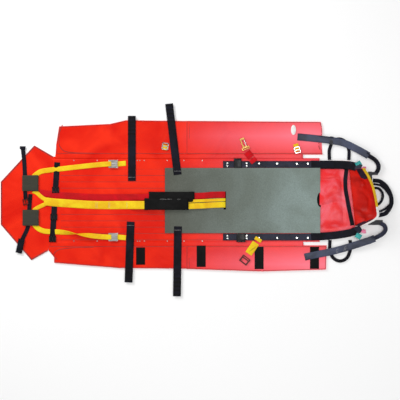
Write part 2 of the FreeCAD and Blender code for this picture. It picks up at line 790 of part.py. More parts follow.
def hood_corners():
    """Webbing sewn inside the hood's two corners."""
    lower, rim = hood_edges()
    above = box((head(200), -BACK_HALF, CORNER_START), (head(-200), BACK_HALF, HOOD_HEIGHT))
    parts = []
    for pair in ((0, 1), (4, 5)):
        whole = band([lower[i] for i in pair], [rim[i] for i in pair], -WEB - GAP, WEB)
        parts.append(whole.common(above))
    return group(parts)


def head_cross_strap():
    """The strap across the back, beside the head crease."""
    route = [(head_line(y, d), y, SHEET) for y, d in ((182, -17), (60, -27), (-60, -17), (-152, -17))]
    return ribbon(route, 25)


NODES = {
    "base_sheet": base_sheet(),
    "pocket_panel": pocket_panel(),
    "battens_right": battens(1),
    "battens_left": battens(-1),
    "foam_mat": foam_mat(),
    "foot_cross_strap": foot_cross_strap(),
    "foot_cross_buckles": foot_cross_buckles(),
    "foot_strap_right": foot_strap(1),
    "foot_strap_left": foot_strap(-1),
    "centre_strap": centre_strap(),
    "red_strap": red_strap(),
    "slot_straps": slot_straps(),
    "sleeve_back": sleeve(BACK_SLEEVE_START, BACK_SLEEVE_LENGTH, BACK_SLEEVE_SPAN, RED_LEVEL),
    "sleeve_front": sleeve(FRONT_SLEEVE_START, FRONT_SLEEVE_LENGTH, FRONT_SLEEVE_SPAN, YELLOW_LEVEL),
    "cam_frame_right": cam_frame(1),
    "cam_frame_left": cam_frame(-1),
    "cam_lever_right": cam_lever(1),
    "cam_lever_left": cam_lever(-1),
    "side_webbing_right": side_webbing(1),
    "side_webbing_left": side_webbing(-1),
    "side_adjusters": side_adjusters(),
    "rivets": group(webbing_rivets() + body_rivets()),
    "closure_foot_right_inner": closure_inner(1, "foot"),
    "closure_foot_left_inner": closure_inner(-1, "foot"),
    "closure_middle_right_inner": closure_inner(1, "middle"),
    "closure_middle_left_inner": closure_inner(-1, "middle"),
    "closure_foot_right_outer": closure_outer(1, "foot"),
    "closure_foot_left_outer": closure_outer(-1, "foot"),
    "closure_middle_right_outer": closure_outer(1, "middle"),
    "closure_middle_left_outer": closure_outer(-1, "middle"),
    "wing_right_panel": wing_panel(1),
    "wing_left_panel": wing_panel(-1),
    "wing_right_flap_foot": wing_flap(1, "foot"),
    "wing_right_flap_head": wing_flap(1, "head"),
    "wing_left_flap_foot": wing_flap(-1, "foot"),
    "wing_left_flap_head": wing_flap(-1, "head"),
    "wing_right_slides": right_wing_slides(),
    "wing_left_patches": left_wing_patches(),
    "tab_right": tab(1),
    "tab_left": tab(-1),
    "snap_hook": snap_hook(),
    "hook_gate": hook_gate(),
    "receiver": receiver(),
    "lift_strap_right": lift_strap(1),
    "lift_strap_left": lift_strap(-1),
    "lift_keeper": lift_keeper(),
    "handle_right": handle(1),
    "handle_left": handle(-1),
    "tow_webbing": tow_webbing(),
    "haul_loops": group([haul_loop(), haul_inner_loop()]),
    "foot_hood": foot_hood(),
    "hood_pads": hood_pads(),
    "hood_strap_right": hood_strap_right(),
    "hood_strap_left": hood_strap_left(),
    "hood_slide": hood_slide(),
    "hood_yellow_ends": hood_yellow_ends(),
    "head_hood": head_hood(),
    "rim_strap": rim_strap(),
    "hood_corners": hood_corners(),
    "head_cross_strap": head_cross_strap(),
}

os.makedirs("parts", exist_ok=True)
for name, shape in NODES.items():
    shape.exportStep("parts/" + name + ".step")
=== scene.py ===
# %% [markdown]
# # A roll-up rescue stretcher, laid open
# The frame below is the working model: every panel, strap and buckle with its real place and its fold.
# This lesson puts the visible cloth, webbing and metal over it. Lengths are metres unless a name says mm.

# %% Load the frame
import json
import math

import bmesh
import bpy
from mathutils import Matrix, Vector, noise


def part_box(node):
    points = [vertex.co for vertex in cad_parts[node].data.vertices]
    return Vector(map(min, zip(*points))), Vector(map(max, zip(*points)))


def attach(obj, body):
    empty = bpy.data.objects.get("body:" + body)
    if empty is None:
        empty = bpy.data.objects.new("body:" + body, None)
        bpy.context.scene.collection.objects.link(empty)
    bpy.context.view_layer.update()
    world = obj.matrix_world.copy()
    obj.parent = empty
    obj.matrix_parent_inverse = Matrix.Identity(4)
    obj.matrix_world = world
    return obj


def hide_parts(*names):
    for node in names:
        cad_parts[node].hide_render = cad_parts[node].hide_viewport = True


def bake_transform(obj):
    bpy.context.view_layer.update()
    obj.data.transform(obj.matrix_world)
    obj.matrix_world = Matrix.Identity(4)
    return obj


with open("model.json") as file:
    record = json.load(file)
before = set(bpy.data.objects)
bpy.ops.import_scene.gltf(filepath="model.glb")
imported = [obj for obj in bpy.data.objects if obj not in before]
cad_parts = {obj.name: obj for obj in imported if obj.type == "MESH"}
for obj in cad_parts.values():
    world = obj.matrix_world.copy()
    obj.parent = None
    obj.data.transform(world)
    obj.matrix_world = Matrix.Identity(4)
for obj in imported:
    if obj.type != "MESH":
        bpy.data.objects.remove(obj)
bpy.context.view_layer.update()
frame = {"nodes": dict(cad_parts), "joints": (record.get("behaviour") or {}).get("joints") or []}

MM = 0.001
UP = Vector((0, 0, 1))

# %% [markdown]
# ## Landmarks
# A piece goes where the working model says, so the few places that many pieces share are read from it once:
# the two wing folds, the slanting fold at the feet, the slanting crease at the head, and the mat.

# %% Landmarks from the frame
JOINTS = {joint["name"]: joint for joint in frame["joints"]}
FOLD_Y = JOINTS["wing_right_fold"]["pos_m"][1]
MAT_LOW, MAT_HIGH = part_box("foam_mat")
PANEL_LOW, PANEL_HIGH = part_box("pocket_panel")
PANEL_TOP = PANEL_HIGH[2]
FLAP_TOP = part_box("wing_right_flap_head")[1][2]
WEB = 2.2 * MM


def slant(joint):
    """(x, lean) of a fold line that crosses the stretcher: X on the centre line, and X per unit of Y."""
    axis = JOINTS[joint]["axis"]
    return JOINTS[joint]["pos_m"][0], axis[0] / axis[1]


FOOT_X, FOOT_LEAN = slant("foot_hood_fold")
HEAD_X, HEAD_LEAN = slant("head_hood_fold")
print("foot fold at", round(FOOT_X, 3), "head crease at", round(HEAD_X, 3))


def foot_line(y, along=0.0):
    return FOOT_X + FOOT_LEAN * y + along


def head_line(y, along=0.0):
    return HEAD_X + HEAD_LEAN * y + along


# %% [markdown]
# ## Camera
# The stretcher is looked at from straight above, so the camera is high up with a long lens, which keeps the
# edges parallel as they are on a laid-out product.

# %% Camera
camera = bpy.data.objects.new("camera", bpy.data.cameras.new("camera"))
bpy.context.scene.collection.objects.link(camera)
camera.data.lens = 85
camera.data.sensor_width = 36
VIEW_WIDTH = 2.4
camera.location = (0.018, 0.0, VIEW_WIDTH * camera.data.lens / camera.data.sensor_width)
bpy.context.scene.camera = camera

# %% [markdown]
# ## Shared effects as node groups
# Coated cloth, webbing and foam all need the same few effects: a fine weave, soft creases, and uneven tone
# that is partly wear and partly painted shade in the creases. Each is a group with named sockets, so every
# material can set its own scale.

# %% Node group helper


def new_group(name, inputs, outputs):
    """An empty shader group; inputs are {name: (type, default)}, outputs {name: type}."""
    group = bpy.data.node_groups.new(name, "ShaderNodeTree")
    for label, (kind, default) in inputs.items():
        made = group.interface.new_socket(label, in_out="INPUT", socket_type=kind)
        if default is not None:
            made.default_value = default
    for label, kind in outputs.items():
        group.interface.new_socket(label, in_out="OUTPUT", socket_type=kind)
    return group, group.nodes.new("NodeGroupInput"), group.nodes.new("NodeGroupOutput")


def math_node(tree, operation, a, b=None):
    """A Math node fed by sockets or plain numbers."""
    node = tree.nodes.new("ShaderNodeMath")
    node.operation = operation
    for index, value in enumerate((a, b)):
        if value is None:
            continue
        if isinstance(value, (int, float)):
            node.inputs[index].default_value = value
        else:
            tree.links.new(value, node.inputs[index])
    return node.outputs[0]


# %% [markdown]
# Webbing is woven in a chevron: ribs run along the strap and lean to and fro across it. Two sine waves
# multiplied together give the rows of floats, and a third, slow one gives the raised selvedge ribs.

# %% Weave group


def make_weave_group():
    group, enter, leave = new_group(
        "weave",
        {"Vector": ("NodeSocketVector", None), "Pitch": ("NodeSocketFloat", 0.0016)},
        {"Height": "NodeSocketFloat"})
    split = group.nodes.new("ShaderNodeSeparateXYZ")
    group.links.new(enter.outputs["Vector"], split.inputs[0])
    along = math_node(group, "DIVIDE", split.outputs[0], enter.outputs["Pitch"])
    across = math_node(group, "DIVIDE", split.outputs[1], enter.outputs["Pitch"])
    lean = math_node(group, "PINGPONG", across, 2.5)
    phase = math_node(group, "MULTIPLY", math_node(group, "ADD", along, lean), math.pi)
    rib = math_node(group, "SINE", phase)
    cross = math_node(group, "SINE", math_node(group, "MULTIPLY", across, 2 * math.pi))
    floats = math_node(group, "ADD", math_node(group, "MULTIPLY", cross, 0.35), 0.65)
    both = math_node(group, "MULTIPLY", rib, floats)
    height = math_node(group, "ADD", math_node(group, "MULTIPLY", both, 0.5), 0.5)
    group.links.new(height, leave.inputs["Height"])
    return group


WEAVE = make_weave_group()

# %% [markdown]
# Soft creases and cloudy wear are both slow noise. One group puts out a height for the bump and a mask
# for the colour, from the same coordinates, so the colour is darker in the hollows: painted shade in the
# creases, mixed with uneven wear.

# %% Wear and crease shade group


def make_wear_and_shade_group():
    group, enter, leave = new_group(
        "wear_and_crease_shade",
        {"Vector": ("NodeSocketVector", None), "Scale": ("NodeSocketFloat", 6.0),
         "Stretch": ("NodeSocketFloat", 1.0)},
        {"Height": "NodeSocketFloat", "Mask": "NodeSocketFloat"})
    stretch = group.nodes.new("ShaderNodeCombineXYZ")
    group.links.new(enter.outputs["Stretch"], stretch.inputs[0])
    stretch.inputs[1].default_value = 1
    stretch.inputs[2].default_value = 1
    mapped = group.nodes.new("ShaderNodeVectorMath")
    mapped.operation = "MULTIPLY"
    group.links.new(enter.outputs["Vector"], mapped.inputs[0])
    group.links.new(stretch.outputs[0], mapped.inputs[1])
    cloud = group.nodes.new("ShaderNodeTexNoise")
    cloud.inputs["Detail"].default_value = 5
    cloud.inputs["Distortion"].default_value = 0.8
    group.links.new(mapped.outputs[0], cloud.inputs["Vector"])
    group.links.new(enter.outputs["Scale"], cloud.inputs["Scale"])
    group.links.new(cloud.outputs["Fac"], leave.inputs["Height"])
    sharp = group.nodes.new("ShaderNodeMapRange")
    sharp.inputs["From Min"].default_value = 0.38
    sharp.inputs["From Max"].default_value = 0.66
    group.links.new(cloud.outputs["Fac"], sharp.inputs["Value"])
    group.links.new(sharp.outputs[0], leave.inputs["Mask"])
    return group


WEAR_AND_SHADE = make_wear_and_shade_group()

# %% [markdown]
# ## Materials
# Each material mixes two tones by the mask of uneven wear and painted crease shade, and takes its bump
# from the weave and the creases. The shader stays in the material, with its plain values set straight on
# its sockets.

# %% Material helper


def finish_material(name, dark, light, roughness, weave=0.0, pitch=0.0016, wear_and_shade_scale=6.0, wear_bump=0.0,
                    stretch=1.0, metallic=0.0, use_uv=False, specular=0.5):
    """A two-tone procedural material, toned by wear and painted crease shade. weave and wear_bump are bump
    strengths.
    """
    material = bpy.data.materials.new(name)
    material.use_nodes = True
    tree = material.node_tree
    shader = tree.nodes["Principled BSDF"]
    shader.inputs["Metallic"].default_value = metallic
    shader.inputs["Specular IOR Level"].default_value = specular
    place = tree.nodes.new("ShaderNodeTexCoord")
    wear_and_shade = tree.nodes.new("ShaderNodeGroup")
    wear_and_shade.node_tree = WEAR_AND_SHADE
    wear_and_shade.inputs["Scale"].default_value = wear_and_shade_scale
    wear_and_shade.inputs["Stretch"].default_value = stretch
    tree.links.new(place.outputs["Object"], wear_and_shade.inputs["Vector"])
    tone = tree.nodes.new("ShaderNodeMix")
    tone.data_type = "RGBA"
    tone.inputs["A"].default_value = (*dark, 1)
    tone.inputs["B"].default_value = (*light, 1)
    # The dark tone falls in the hollows of the noise: painted crease shade, mixed with uneven wear.
    tree.links.new(wear_and_shade.outputs["Mask"], tone.inputs["Factor"])
    colour = tone.outputs["Result"]
    rough = tree.nodes.new("ShaderNodeMapRange")
    rough.inputs["To Min"].default_value = roughness * 0.85
    rough.inputs["To Max"].default_value = min(1.0, roughness * 1.2)
    tree.links.new(wear_and_shade.outputs["Mask"], rough.inputs["Value"])
    tree.links.new(rough.outputs[0], shader.inputs["Roughness"])
    creases = tree.nodes.new("ShaderNodeBump")
    creases.inputs["Strength"].default_value = wear_bump
    creases.inputs["Distance"].default_value = 0.004
    tree.links.new(wear_and_shade.outputs["Height"], creases.inputs["Height"])
    normal = creases.outputs[0]
    if weave:
        threads = tree.nodes.new("ShaderNodeGroup")
        threads.node_tree = WEAVE
        threads.inputs["Pitch"].default_value = pitch
        tree.links.new(place.outputs["UV" if use_uv else "Object"], threads.inputs["Vector"])
        shade = tree.nodes.new("ShaderNodeMix")
        shade.data_type = "RGBA"
        shade.blend_type = "MULTIPLY"
        shade.inputs["Factor"].default_value = 0.35
        tree.links.new(colour, shade.inputs["A"])
        tree.links.new(threads.outputs["Height"], shade.inputs["B"])
        colour = shade.outputs["Result"]
        bump = tree.nodes.new("ShaderNodeBump")
        bump.inputs["Strength"].default_value = weave
        bump.inputs["Distance"].default_value = 0.0006
        tree.links.new(threads.outputs["Height"], bump.inputs["Height"])
        tree.links.new(normal, bump.inputs["Normal"])
        normal = bump.outputs[0]
    tree.links.new(colour, shader.inputs["Base Color"])
    tree.links.new(normal, shader.inputs["Normal"])
    return material


# %% [markdown]
# The coated cloth is paler and pinker towards the head end, partly worn where it is handled and partly
# painted glare, and most on the crown of each wing's roll, where it is a painted highlight. Object
# coordinates give both places, so the fade is two ranges multiplied together.

# %% Worn cloth and painted glare
ROLL_CROWN = 0.385      # from the centre line to the crown of a wing's roll
ROLL_HALF = 0.1


def pale_and_glare_along(material, colour, start, end, most):
    """Fades towards a colour between two places along X and on wing rolls: wear with painted glare and
    highlight.
    """
    tree = material.node_tree
    shader = tree.nodes["Principled BSDF"]
    before = shader.inputs["Base Color"].links[0].from_socket
    place = tree.nodes.new("ShaderNodeTexCoord")
    split = tree.nodes.new("ShaderNodeSeparateXYZ")
    share = tree.nodes.new("ShaderNodeMapRange")
    share.inputs["From Min"].default_value = start
    share.inputs["From Max"].default_value = end
    share.inputs["To Max"].default_value = most
    mix = tree.nodes.new("ShaderNodeMix")
    mix.data_type = "RGBA"
    mix.inputs["B"].default_value = (*colour, 1)
    tree.links.new(place.outputs["Object"], split.inputs[0])
    tree.links.new(split.outputs["X"], share.inputs["Value"])
    off_crown = math_node(tree, "SUBTRACT", math_node(tree, "ABSOLUTE", split.outputs["Y"]), ROLL_CROWN)
    crown = tree.nodes.new("ShaderNodeMapRange")
    crown.inputs["From Max"].default_value = ROLL_HALF
    crown.inputs["To Min"].default_value = 1.2
    crown.inputs["To Max"].default_value = 0.4
    tree.links.new(math_node(tree, "ABSOLUTE", off_crown), crown.inputs["Value"])
    tree.links.new(math_node(tree, "MULTIPLY", share.outputs[0], crown.outputs[0]), mix.inputs["Factor"])
    tree.links.new(before, mix.inputs["A"])
    tree.links.new(mix.outputs["Result"], shader.inputs["Base Color"])


RED = finish_material(
    "coated_red", (0.80, 0.010, 0.001), (1.0, 0.026, 0.003), 0.4, weave=0.12, pitch=0.0012,
    wear_and_shade_scale=4.5, wear_bump=1.5, specular=0.14)
# Paler and pinker towards the head and on the wing rolls: partly wear, partly painted glare and highlight.
pale_and_glare_along(RED, (1.0, 0.18, 0.24), -0.15, 0.65, 0.85)

# %% [markdown]
# The other finishes get no fade or painted glare. Webbing reads its own UV map, so that the weave turns
# with the strap, and moulded and metal parts have no weave.

# %% The stretcher's other finishes
# The head hood's end wall: the coated red darkened, painted shade for the inside of the standing wall.
RED_SHADED = finish_material(
    "red_with_painted_shade", (0.38, 0.003, 0.001), (0.72, 0.010, 0.003), 0.42, weave=0.12, pitch=0.0012, wear_and_shade_scale=9,
    wear_bump=2.0, specular=0.15)
# The loose head-end cloth: the coated red lit pinker, a painted highlight of the glare on its pillows.
RED_GLARE_FLOOR = finish_material(
    "rucked_red_with_painted_glare", (0.95, 0.030, 0.035), (1.0, 0.17, 0.22), 0.4, weave=0.12, pitch=0.0012, wear_and_shade_scale=9,
    wear_bump=1.0, specular=0.2)
# Dark red for hems and seams, and for painted shade along rolled and lifted cloth edges.
RED_HEM_AND_SHADE = finish_material(
    "red_hem_seam_and_edge_shade", (0.36, 0.006, 0.002), (0.50, 0.012, 0.004), 0.45, weave=0.2, wear_and_shade_scale=20)
YELLOW = finish_material(
    "yellow_webbing", (0.92, 0.52, 0.003), (1.0, 0.76, 0.012), 0.6, weave=0.7, pitch=0.0019, wear_and_shade_scale=9,
    use_uv=True, specular=0.2)
CRIMSON = finish_material(
    "crimson_webbing", (0.50, 0.001, 0.004), (0.74, 0.002, 0.010), 0.6, weave=0.7, pitch=0.0019,
    wear_and_shade_scale=9, use_uv=True, specular=0.15)
BLACK_WEB = finish_material("black_webbing", (0.004, 0.004, 0.007), (0.012, 0.012, 0.022), 0.6, weave=0.8,
                            pitch=0.0022, wear_and_shade_scale=12, use_uv=True, specular=0.1)
BLUE_WEB = finish_material(
    "blue_black_webbing", (0.008, 0.009, 0.022), (0.030, 0.033, 0.062), 0.45, weave=0.6, pitch=0.0022,
    wear_and_shade_scale=8, use_uv=True, specular=0.2)
SLEEVE = finish_material(
    "sleeve_cloth", (0.004, 0.004, 0.004), (0.012, 0.012, 0.012), 0.8, weave=0.6, pitch=0.0014,
    wear_and_shade_scale=14, wear_bump=0.4, specular=0.1)
PAD = finish_material(
    "pad_cloth", (0.026, 0.025, 0.015), (0.046, 0.045, 0.028), 0.85, weave=0.9, pitch=0.0024,
    wear_and_shade_scale=18)
THREAD = finish_material(
    "stitching", (0.5, 0.5, 0.48), (0.7, 0.7, 0.68), 0.7, weave=0.5, pitch=0.001, wear_and_shade_scale=60)
DARK_THREAD = finish_material(
    "dark_stitching", (0.30, 0.004, 0.002), (0.42, 0.008, 0.004), 0.8, weave=0.5, pitch=0.001)
STEEL = finish_material(
    "buckle_steel", (0.42, 0.42, 0.40), (0.68, 0.68, 0.64), 0.3, metallic=1.0, wear_and_shade_scale=60,
    wear_bump=0.1, stretch=0.2)
BRASS = finish_material(
    "hook_brass", (0.34, 0.20, 0.05), (0.55, 0.37, 0.12), 0.3, metallic=1.0, wear_and_shade_scale=70, wear_bump=0.1)
PLASTIC = finish_material(
    "black_plastic", (0.005, 0.005, 0.006), (0.012, 0.012, 0.013), 0.4, wear_and_shade_scale=90, wear_bump=0.15,
    specular=0.25)
RED_PLASTIC = finish_material(
    "red_brown_plastic", (0.030, 0.004, 0.003), (0.085, 0.007, 0.004), 0.35, wear_and_shade_scale=70,
    wear_bump=0.15, specular=0.25)
BATTEN = finish_material(
    "batten_plastic", (0.6, 0.6, 0.56), (0.7, 0.7, 0.66), 0.5, wear_and_shade_scale=30, wear_bump=0.1)

LIFT_WEB = finish_material("lifting_webbing", (0.016, 0.021, 0.044), (0.060, 0.074, 0.135), 0.4, weave=0.6,
                           pitch=0.0022, wear_and_shade_scale=7, use_uv=True, specular=0.35)
TEAL = finish_material(
    "teal_tape", (0.01, 0.30, 0.30), (0.03, 0.45, 0.42), 0.5, weave=0.5, wear_and_shade_scale=20, use_uv=True)
PINK = finish_material(
    "pink_tape", (0.70, 0.12, 0.26), (0.85, 0.25, 0.40), 0.5, weave=0.5, wear_and_shade_scale=20, use_uv=True)
BLANK = finish_material("blank_patch", (0.75, 0.75, 0.73), (0.9, 0.9, 0.88), 0.5, wear_and_shade_scale=40)

# %% [markdown]
# The foam is grey with fine cells, darker and warmer at the foot end, paler and cooler toward the head.
# Its own material adds a slow colour ramp along the mat to the cell noise.

# %% Foam


def make_foam():
    material = finish_material("foam", (0.085, 0.098, 0.086), (0.125, 0.144, 0.136), 0.85, wear_and_shade_scale=3)
    tree = material.node_tree
    shader = tree.nodes["Principled BSDF"]
    place = tree.nodes.new("ShaderNodeTexCoord")
    cells = tree.nodes.new("ShaderNodeTexNoise")
    cells.inputs["Scale"].default_value = 260
    cells.inputs["Detail"].default_value = 3
    tree.links.new(place.outputs["Object"], cells.inputs["Vector"])
    split = tree.nodes.new("ShaderNodeSeparateXYZ")
    tree.links.new(place.outputs["Object"], split.inputs[0])
    run = tree.nodes.new("ShaderNodeMapRange")
    run.inputs["From Min"].default_value = MAT_LOW[0]
    run.inputs["From Max"].default_value = MAT_HIGH[0]
    tree.links.new(split.outputs[0], run.inputs["Value"])
    tint = tree.nodes.new("ShaderNodeMix")
    tint.data_type = "RGBA"
    tint.inputs["A"].default_value = (0.75, 0.68, 0.58, 1)
    tint.inputs["B"].default_value = (1.9, 2.1, 2.1, 1)
    tree.links.new(run.outputs[0], tint.inputs["Factor"])
    base = shader.inputs["Base Color"].links[0].from_socket
    mixed = tree.nodes.new("ShaderNodeMix")
    mixed.data_type = "RGBA"
    mixed.blend_type = "MULTIPLY"
    mixed.inputs["Factor"].default_value = 1
    tree.links.new(base, mixed.inputs["A"])
    tree.links.new(tint.outputs["Result"], mixed.inputs["B"])
    speckle = tree.nodes.new("ShaderNodeMix")
    speckle.data_type = "RGBA"
    speckle.blend_type = "OVERLAY"
    speckle.inputs["Factor"].default_value = 0.45
    tree.links.new(mixed.outputs["Result"], speckle.inputs["A"])
    tree.links.new(cells.outputs["Fac"], speckle.inputs["B"])
    tree.links.new(speckle.outputs["Result"], shader.inputs["Base Color"])
    bump = tree.nodes.new("ShaderNodeBump")
    bump.inputs["Strength"].default_value = 0.35
    bump.inputs["Distance"].default_value = 0.001
    tree.links.new(cells.outputs["Fac"], bump.inputs["Height"])
    tree.links.new(bump.outputs[0], shader.inputs["Normal"])
    return material


FOAM = make_foam()
print("materials", len(bpy.data.materials))

# %% [markdown]
# ## Helpers for cloth and webbing
# A strap is a grid of quads laid along a smooth line. The grid's own numbers say how far along and across
# each corner is, so they also become the UV map that the weave follows. Solidify gives the thickness.

# %% Making a piece


def new_piece(name, bm, material, body, replaced=(), smooth=True):
    """A finished mesh object that rides on a body and stands for CAD nodes."""
    mesh = bpy.data.meshes.new(name)
    bm.to_mesh(mesh)
    bm.free()
    piece = bpy.data.objects.new(name, mesh)
    bpy.context.scene.collection.objects.link(piece)
    for face in mesh.polygons:
        face.use_smooth = smooth
    mesh.materials.append(material)
    if body:
        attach(piece, body)
    if replaced:
        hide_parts(*replaced)
    return piece


def thicken(piece, thick, round_edge=0.0005, segments=1, offset=-1.0):
    solid = piece.modifiers.new("thickness", "SOLIDIFY")
    solid.thickness = thick
    solid.offset = offset
    if round_edge:
        bevel = piece.modifiers.new("soft_edge", "BEVEL")
        bevel.width = round_edge
        bevel.segments = segments
        bevel.limit_method = "ANGLE"


def smooth_line(route, step=0.008):
    """Points along a curve through the route's points, in metres; the route is in millimetres."""
    points = [Vector(p) * MM for p in route]
    line = [points[0]]
    for i in range(len(points) - 1):
        before = points[max(i - 1, 0)]
        after = points[min(i + 2, len(points) - 1)]
        start, end = points[i], points[i + 1]
        run = (end - start).length
        count = max(2, round(run / step))
        way_in = (end - before).normalized() * run / 3
        way_out = (after - start).normalized() * run / 3
        for k in range(1, count + 1):
            t = k / count
            a, b = start + way_in, end - way_out
            point = start * (1 - t) ** 3 + a * 3 * t * (1 - t) ** 2 + b * 3 * t * t * (1 - t) + end * t ** 3
            point.z = start.z + (end.z - start.z) * t * t * (3 - 2 * t)
            line.append(point)
    return line


def grid_on(along_count, across_count, place, uv_size):
    """A grid whose corners go where place(s, t) says, s and t from 0 to 1, with a UV map in metres."""
    bm = bmesh.new()
    bmesh.ops.create_grid(bm, x_segments=along_count, y_segments=across_count, size=0.5)
    uv = bm.loops.layers.uv.new("along")
    for face in bm.faces:
        for loop in face.loops:
            co = loop.vert.co
            loop[uv].uv = ((co.x + 0.5) * uv_size[0], (co.y + 0.5) * uv_size[1])
    for vert in bm.verts:
        vert.co = place(vert.co.x + 0.5, vert.co.y + 0.5)
    return bm


def length_of(line):
    return sum((b - a).length for a, b in zip(line, line[1:]))


def webbing(
        name, route, width_mm, material, body, replaced=(),
        thick=WEB, crown=0.0004, tilt=0.0, twist=None):
    """A flat strap whose underside follows the route.

    twist is where along it, from 0 to 1, it turns over.
    """
    line = smooth_line(route)
    last = len(line) - 1
    width = width_mm * MM

    def place(s, t):
        i = min(int(round(s * last)), last)
        way = line[min(i + 1, last)] - line[max(i - 1, 0)]
        side = UP.cross(way).normalized()
        sag = crown * (1 - (2 * t - 1) ** 2)
        if twist:
            turned = max(0.0, min(1.0, (s - twist[0]) / (twist[1] - twist[0])))
            angle = math.pi * turned * turned * (3 - 2 * turned)
            across = side * math.cos(angle) + UP * math.sin(angle)
            return line[i] + across * (t - 0.5) * width + UP * (thick + math.sin(angle) * width / 2)
        return line[i] + side * (t - 0.5) * width + UP * (thick + sag + tilt * (t - 0.5) * width)

    bm = grid_on(last, 5, place, (length_of(line), width))
    piece = new_piece(name, bm, material, body, replaced)
    thicken(piece, thick)
    return piece


def curtain(name, low, high, material, body, replaced=(), thick=0.002, bulge=0.0, folds=0.0, rows=14):
    """A standing sheet between two lines of points, which may belly out and crease."""
    low_line, high_line = smooth_line(low), smooth_line(high)
    count = 60

    def place(s, t):
        a = low_line[min(int(s * (len(low_line) - 1) + 0.5), len(low_line) - 1)]
        b = high_line[min(int(s * (len(high_line) - 1) + 0.5), len(high_line) - 1)]
        point = a.lerp(b, t)
        belly = math.sin(math.pi * t)
        wide = noise.noise(Vector((s * 5, t * 2.2, 3.1)))
        crease = wide + 0.5 * noise.noise(Vector((s * 11, t * 3, 7.7)))
        return point + Vector((belly * (bulge + folds * crease), 0, -belly * bulge * 0.6))

    bm = grid_on(count, rows, place, (length_of(high_line), 0.12))
    piece = new_piece(name, bm, material, body, replaced)
    thicken(piece, thick, offset=0.0)
    return piece


# %% [markdown]
# A fabric panel starts as its cut outline. Bisecting it every centimetre or so gives corners to push up and
# down, and then Solidify and a small bevel turn it into cloth with a rounded edge.

# %% Panels


def panel(name, outline, height, material, body, replaced=(), step=0.012, thick=0.0012, round_edge=0.0005,
          segments=1, holes=()):
    """outline in millimetres; height(x, y) gives the top surface in metres."""
    bm = bmesh.new()
    corners = [bm.verts.new((x * MM, y * MM, 0)) for x, y in outline]
    bmesh.ops.contextual_create(bm, geom=corners)
    for axis in (0, 1):
        low = min(v.co[axis] for v in bm.verts)
        high = max(v.co[axis] for v in bm.verts)
        normal = Vector((1, 0, 0)) if axis == 0 else Vector((0, 1, 0))
        for k in range(1, int((high - low) / step)):
            everything = bm.verts[:] + bm.edges[:] + bm.faces[:]
            bmesh.ops.bisect_plane(bm, geom=everything, plane_co=normal * (low + k * step), plane_no=normal)
    for low, high in holes:
        for axis, value in ((0, low[0]), (0, high[0]), (1, low[1]), (1, high[1])):
            normal = Vector((1, 0, 0)) if axis == 0 else Vector((0, 1, 0))
            everything = bm.verts[:] + bm.edges[:] + bm.faces[:]
            bmesh.ops.bisect_plane(bm, geom=everything, plane_co=normal * value, plane_no=normal)
        gone = [f for f in bm.faces if low[0] < f.calc_center_median().x < high[0]
                and low[1] < f.calc_center_median().y < high[1]]
        bmesh.ops.delete(bm, geom=gone, context="FACES")
    bmesh.ops.recalc_face_normals(bm, faces=bm.faces)
    if bm.faces[0].normal.z < 0:
        bmesh.ops.reverse_faces(bm, faces=bm.faces)
    for vert in bm.verts:
        vert.co.z = height(vert.co.x, vert.co.y)
    piece = new_piece(name, bm, material, body, replaced)
    thicken(piece, thick, round_edge, segments)
    return piece


def ripple(x, y, scale, seed):
    """Soft uneven creases between -1 and 1."""
    broad = noise.noise(Vector((x * scale, y * scale * 1.6, seed)))
    fine = noise.noise(Vector((x * scale * 2.7, y * scale * 3, seed + 5)))
    return broad + 0.4 * fine


# %% [markdown]
# Stitching is short proud threads. Each is a small stretched cube, turned along its seam, and a whole row
# is one mesh.

# %% Stitch rows


def stitches(name, rows, material, body, pitch=0.0065, long=0.0042, thin=0.0009):
    """rows are (start, end) points in millimetres, at the height of the cloth's surface."""
    bm = bmesh.new()
    for start, end in rows:
        a, b = Vector(start) * MM, Vector(end) * MM
        way = (b - a).normalized()
        turn = way.to_track_quat("X", "Z").to_matrix().to_4x4()
        for k in range(max(1, int((b - a).length / pitch))):
            place = Matrix.Translation(a + way * (k + 0.5) * pitch) @ turn
            size = Matrix.Diagonal((long, thin, thin * 0.8, 1))
            bmesh.ops.create_cube(bm, size=1, matrix=place @ size)
    return new_piece(name, bm, material, body, smooth=False)


# %% [markdown]
# Cut edges of the coated cloth have a darker hem, and the cloth is shaded where its edge rolls over. Both
# are painted as a narrow dark line that follows the cloth's surface just inside each side of the outline.

# %% Hem and edge shade lines


def hem_and_shade_lines(name, outline, height, body, width=3.4, inset=4.0, shortest=30):
    """Dark strips of hem and painted edge shade inside an outline in millimetres; height takes and gives
    metres.
    """
    around = sum(x0 * y1 - x1 * y0 for (x0, y0), (x1, y1) in zip(outline, outline[1:] + outline[:1]))
    turn = 1 if around > 0 else -1
    for number, ((x0, y0), (x1, y1)) in enumerate(zip(outline, outline[1:] + outline[:1])):
        run = math.hypot(x1 - x0, y1 - y0)
        if run < shortest:
            continue
        way = ((x1 - x0) / run, (y1 - y0) / run)
        count = max(2, int(run / 22))
        route = []
        for k in range(count + 1):
            far = inset + (run - 2 * inset) * k / count
            x = x0 + way[0] * far - way[1] * inset * turn
            y = y0 + way[1] * far + way[0] * inset * turn
            route.append((x, y, height(x * MM, y * MM) / MM + 0.1))
        webbing(f"{name}_{number}", route, width, RED_HEM_AND_SHADE, body, thick=0.0006, crown=0.0001)


# %% [markdown]
# ## The back
# The patient lies on two layers of coated cloth with stiff battens sewn in long pockets between them. The
# top layer dips at each seam and swells a little over each batten.

# %% Pocket panel
SEAMS = [-239, -201, -163, -125, -87, 33, 71, 109, 147, 185]
STRONG_SEAMS = (-239, -163, -87, 33, 109, 185)
CLOTH_TOP = PANEL_TOP - 0.1 * MM
PANEL_MM = [PANEL_LOW[0] / MM, PANEL_HIGH[0] / MM]


